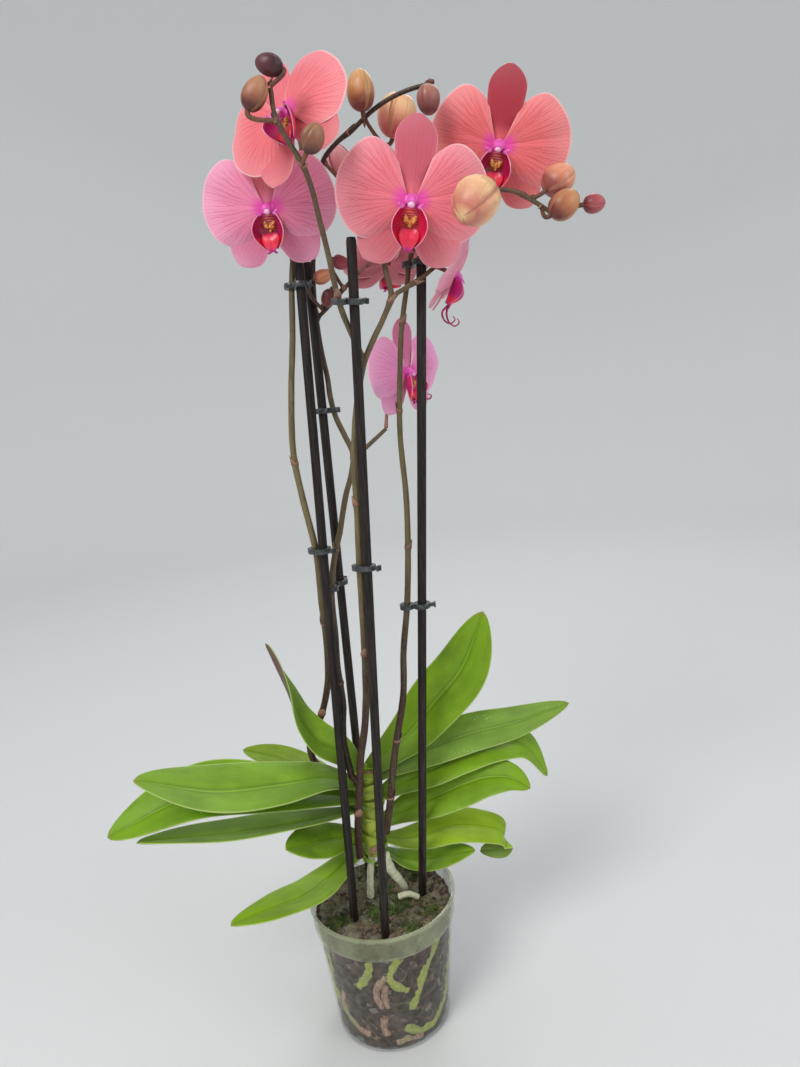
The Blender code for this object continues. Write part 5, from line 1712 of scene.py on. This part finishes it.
def build_buds():
    stalk_tints = ((0.10, 0.045, 0.03), (0.20, 0.085, 0.05), (0.14, 0.05, 0.035))
    stalk_mat = stem_look("bud_stalk", *stalk_tints, 560, 720)
    bract = bract_look()
    for number, (name, bud) in enumerate(BUDS.items()):
        base, middle, tip_tint, seams = BUD_TINTS[name]
        skin = bud_look(name + "_skin", base, middle, tip_tint)
        tip = Vector(bud.tip).normalized()
        turn = tip.to_track_quat("Z", "Y").to_matrix()
        spun = turn @ Matrix.Rotation(0.9 + 1.1 * number, 3, "Z")
        grid = bud_grid(bud, seams) @ np.array(spun).T + np.array(bud.middle)
        build = Build()
        build.grid(grid, 0, closed=True)
        build.lid(grid[0], 0, flip=True)
        build.lid(grid[-1], 0, uv=(1.0, 0.5))
        start = Vector(bud.middle) - tip * (bud.length / 2 - 1.5)
        stalk = stalk_path(start, -tip, bud.joint, BUD_STALK_GAP)
        build.tube(stalk, np.linspace(1.6, 1.25, len(stalk)), 14, 1)
        build.mark()
        end = np.array(bud.joint, float)
        build.tube([stalk[-2], stalk[-1], (stalk[-1] + end) / 2, end], (1.2, 1.25, 1.4, 1.7), 14, 1)
        add_bud_bract(build, end, Vector(stalk[-1]) - Vector(end), number)
        if name.startswith("opening"):
            add_opening_petals(build, bud, spun)
        build.made(name + "_bud", name, "bud_skin", [skin, stalk_mat, bract], 50.0)


def add_bud_bract(build, foot, heading, number):
    """The small pointed bract under a stalk."""
    turned = heading.normalized().to_track_quat("Z", "Y").to_matrix()
    turned = turned @ Matrix.Rotation(1.9 * number, 3, "Z")

    def at(share, over):
        across = 2 * over - 1
        half = 1.9 * math.sin(math.pi * (0.28 + 0.70 * share))
        local = (half * across, 1.7 + 1.5 * share - 0.8 * across**2, -1.0 + 5.5 * share)
        return Vector(foot) + turned @ Vector(local)

    build.slab(sheet(8, 9, at), 0.4, 2)


def add_opening_petals(build, bud, turn):
    """Sepals that have begun to part round an opening bud."""
    for number in range(3):
        spin = Matrix.Rotation(math.tau * (number + 0.5) / 3, 3, "Z")

        def at(share, over):
            angle = 0.35 + 2.45 * share
            reach = bud.width / 2 * math.sin(angle) * 1.05 + 0.9 * share
            across = (2 * over - 1) * 0.95 * (1 - 0.35 * share**3)
            rise = -math.cos(angle) * bud.length / 2 * 1.03
            local = Vector((reach * math.cos(across), reach * math.sin(across), rise))
            return Vector(bud.middle) + turn @ (spin @ local)

        build.slab(sheet(22, 15, at), 0.7, 0)


# ---------------------------------------------------------------- stage


def area_light(name, place, aim, size, power, colour=(1, 1, 1)):
    data = bpy.data.lights.new(name, "AREA")
    data.shape = "DISK"
    data.size = size
    data.energy = power
    data.color = colour
    lamp = bpy.data.objects.new(name, data)
    way = Vector(aim) - Vector(place)
    lamp.matrix_world = Matrix.Translation(place) @ way.to_track_quat("-Z", "Y").to_matrix().to_4x4()
    bpy.context.scene.collection.objects.link(lamp)


def build_stage():
    """A pale round cove that closes in behind the object from every side."""
    profile = [(0.001, 0.0), (1.6, 0.0), (2.0, 0.0)]
    for degrees in range(10, 91, 10):
        angle = math.radians(degrees)
        profile.append((2.0 + 0.8 * math.sin(angle), 0.8 - 0.8 * math.cos(angle)))
    profile.append((2.8, 3.2))
    build = Build()
    build.grid(turned_grid(profile, 96), closed=True)
    mesh = bpy.data.meshes.new("cove")
    mesh.from_pydata(build.points, [], build.faces)
    mesh.shade_smooth()
    pale = Look("pale_floor", Base_Color=(0.74, 0.75, 0.75), Roughness=0.9, Specular_IOR_Level=0.1)
    mesh.materials.append(pale.mat)
    cove = bpy.data.objects.new("cove", mesh)
    bpy.context.scene.collection.objects.link(cove)

    bpy.context.scene.view_settings.view_transform = "Standard"
    world = bpy.data.worlds.new("soft")
    world.use_nodes = True
    world.node_tree.nodes["Background"].inputs[0].default_value = (0.93, 0.96, 1.0, 1.0)
    world.node_tree.nodes["Background"].inputs[1].default_value = 0.55
    bpy.context.scene.world = world
    area_light("key", (-1.0, -1.5, 2.0), (0, 0, 0.42), 1.1, 30.0, (1.0, 0.98, 0.95))
    area_light("fill", (1.6, -1.0, 1.1), (0, 0, 0.4), 1.2, 7.0, (0.95, 0.98, 1.0))
    area_light("back", (0.5, 1.7, 2.1), (0, 0, 0.45), 1.2, 12.0)


def build_camera():
    """The camera stands in front, tilted down and rolled a little."""
    data = bpy.data.cameras.new("camera")
    data.lens = CAMERA_LENS
    data.sensor_width = 36.0
    data.clip_start = 0.02
    camera = bpy.data.objects.new("camera", data)
    pitch, roll = math.radians(CAMERA_PITCH), math.radians(CAMERA_ROLL)
    forward = Vector((0, math.cos(pitch), math.sin(pitch)))
    right = Vector((1, 0, 0))
    up = right.cross(forward)
    tilted_right = right * math.cos(roll) + up * math.sin(roll)
    tilted_up = tilted_right.cross(forward)
    turn = Matrix((tilted_right, tilted_up, -forward)).transposed().to_4x4()
    camera.matrix_world = Matrix.Translation(CAMERA_PLACE) @ turn
    bpy.context.scene.collection.objects.link(camera)
    bpy.context.scene.camera = camera


build_pot()
build_medium()
build_litter()
build_stakes()
build_crown()
build_roots()
build_leaves()
build_stems()
build_clips()
build_flowers()
build_buds()
build_stage()
build_camera()
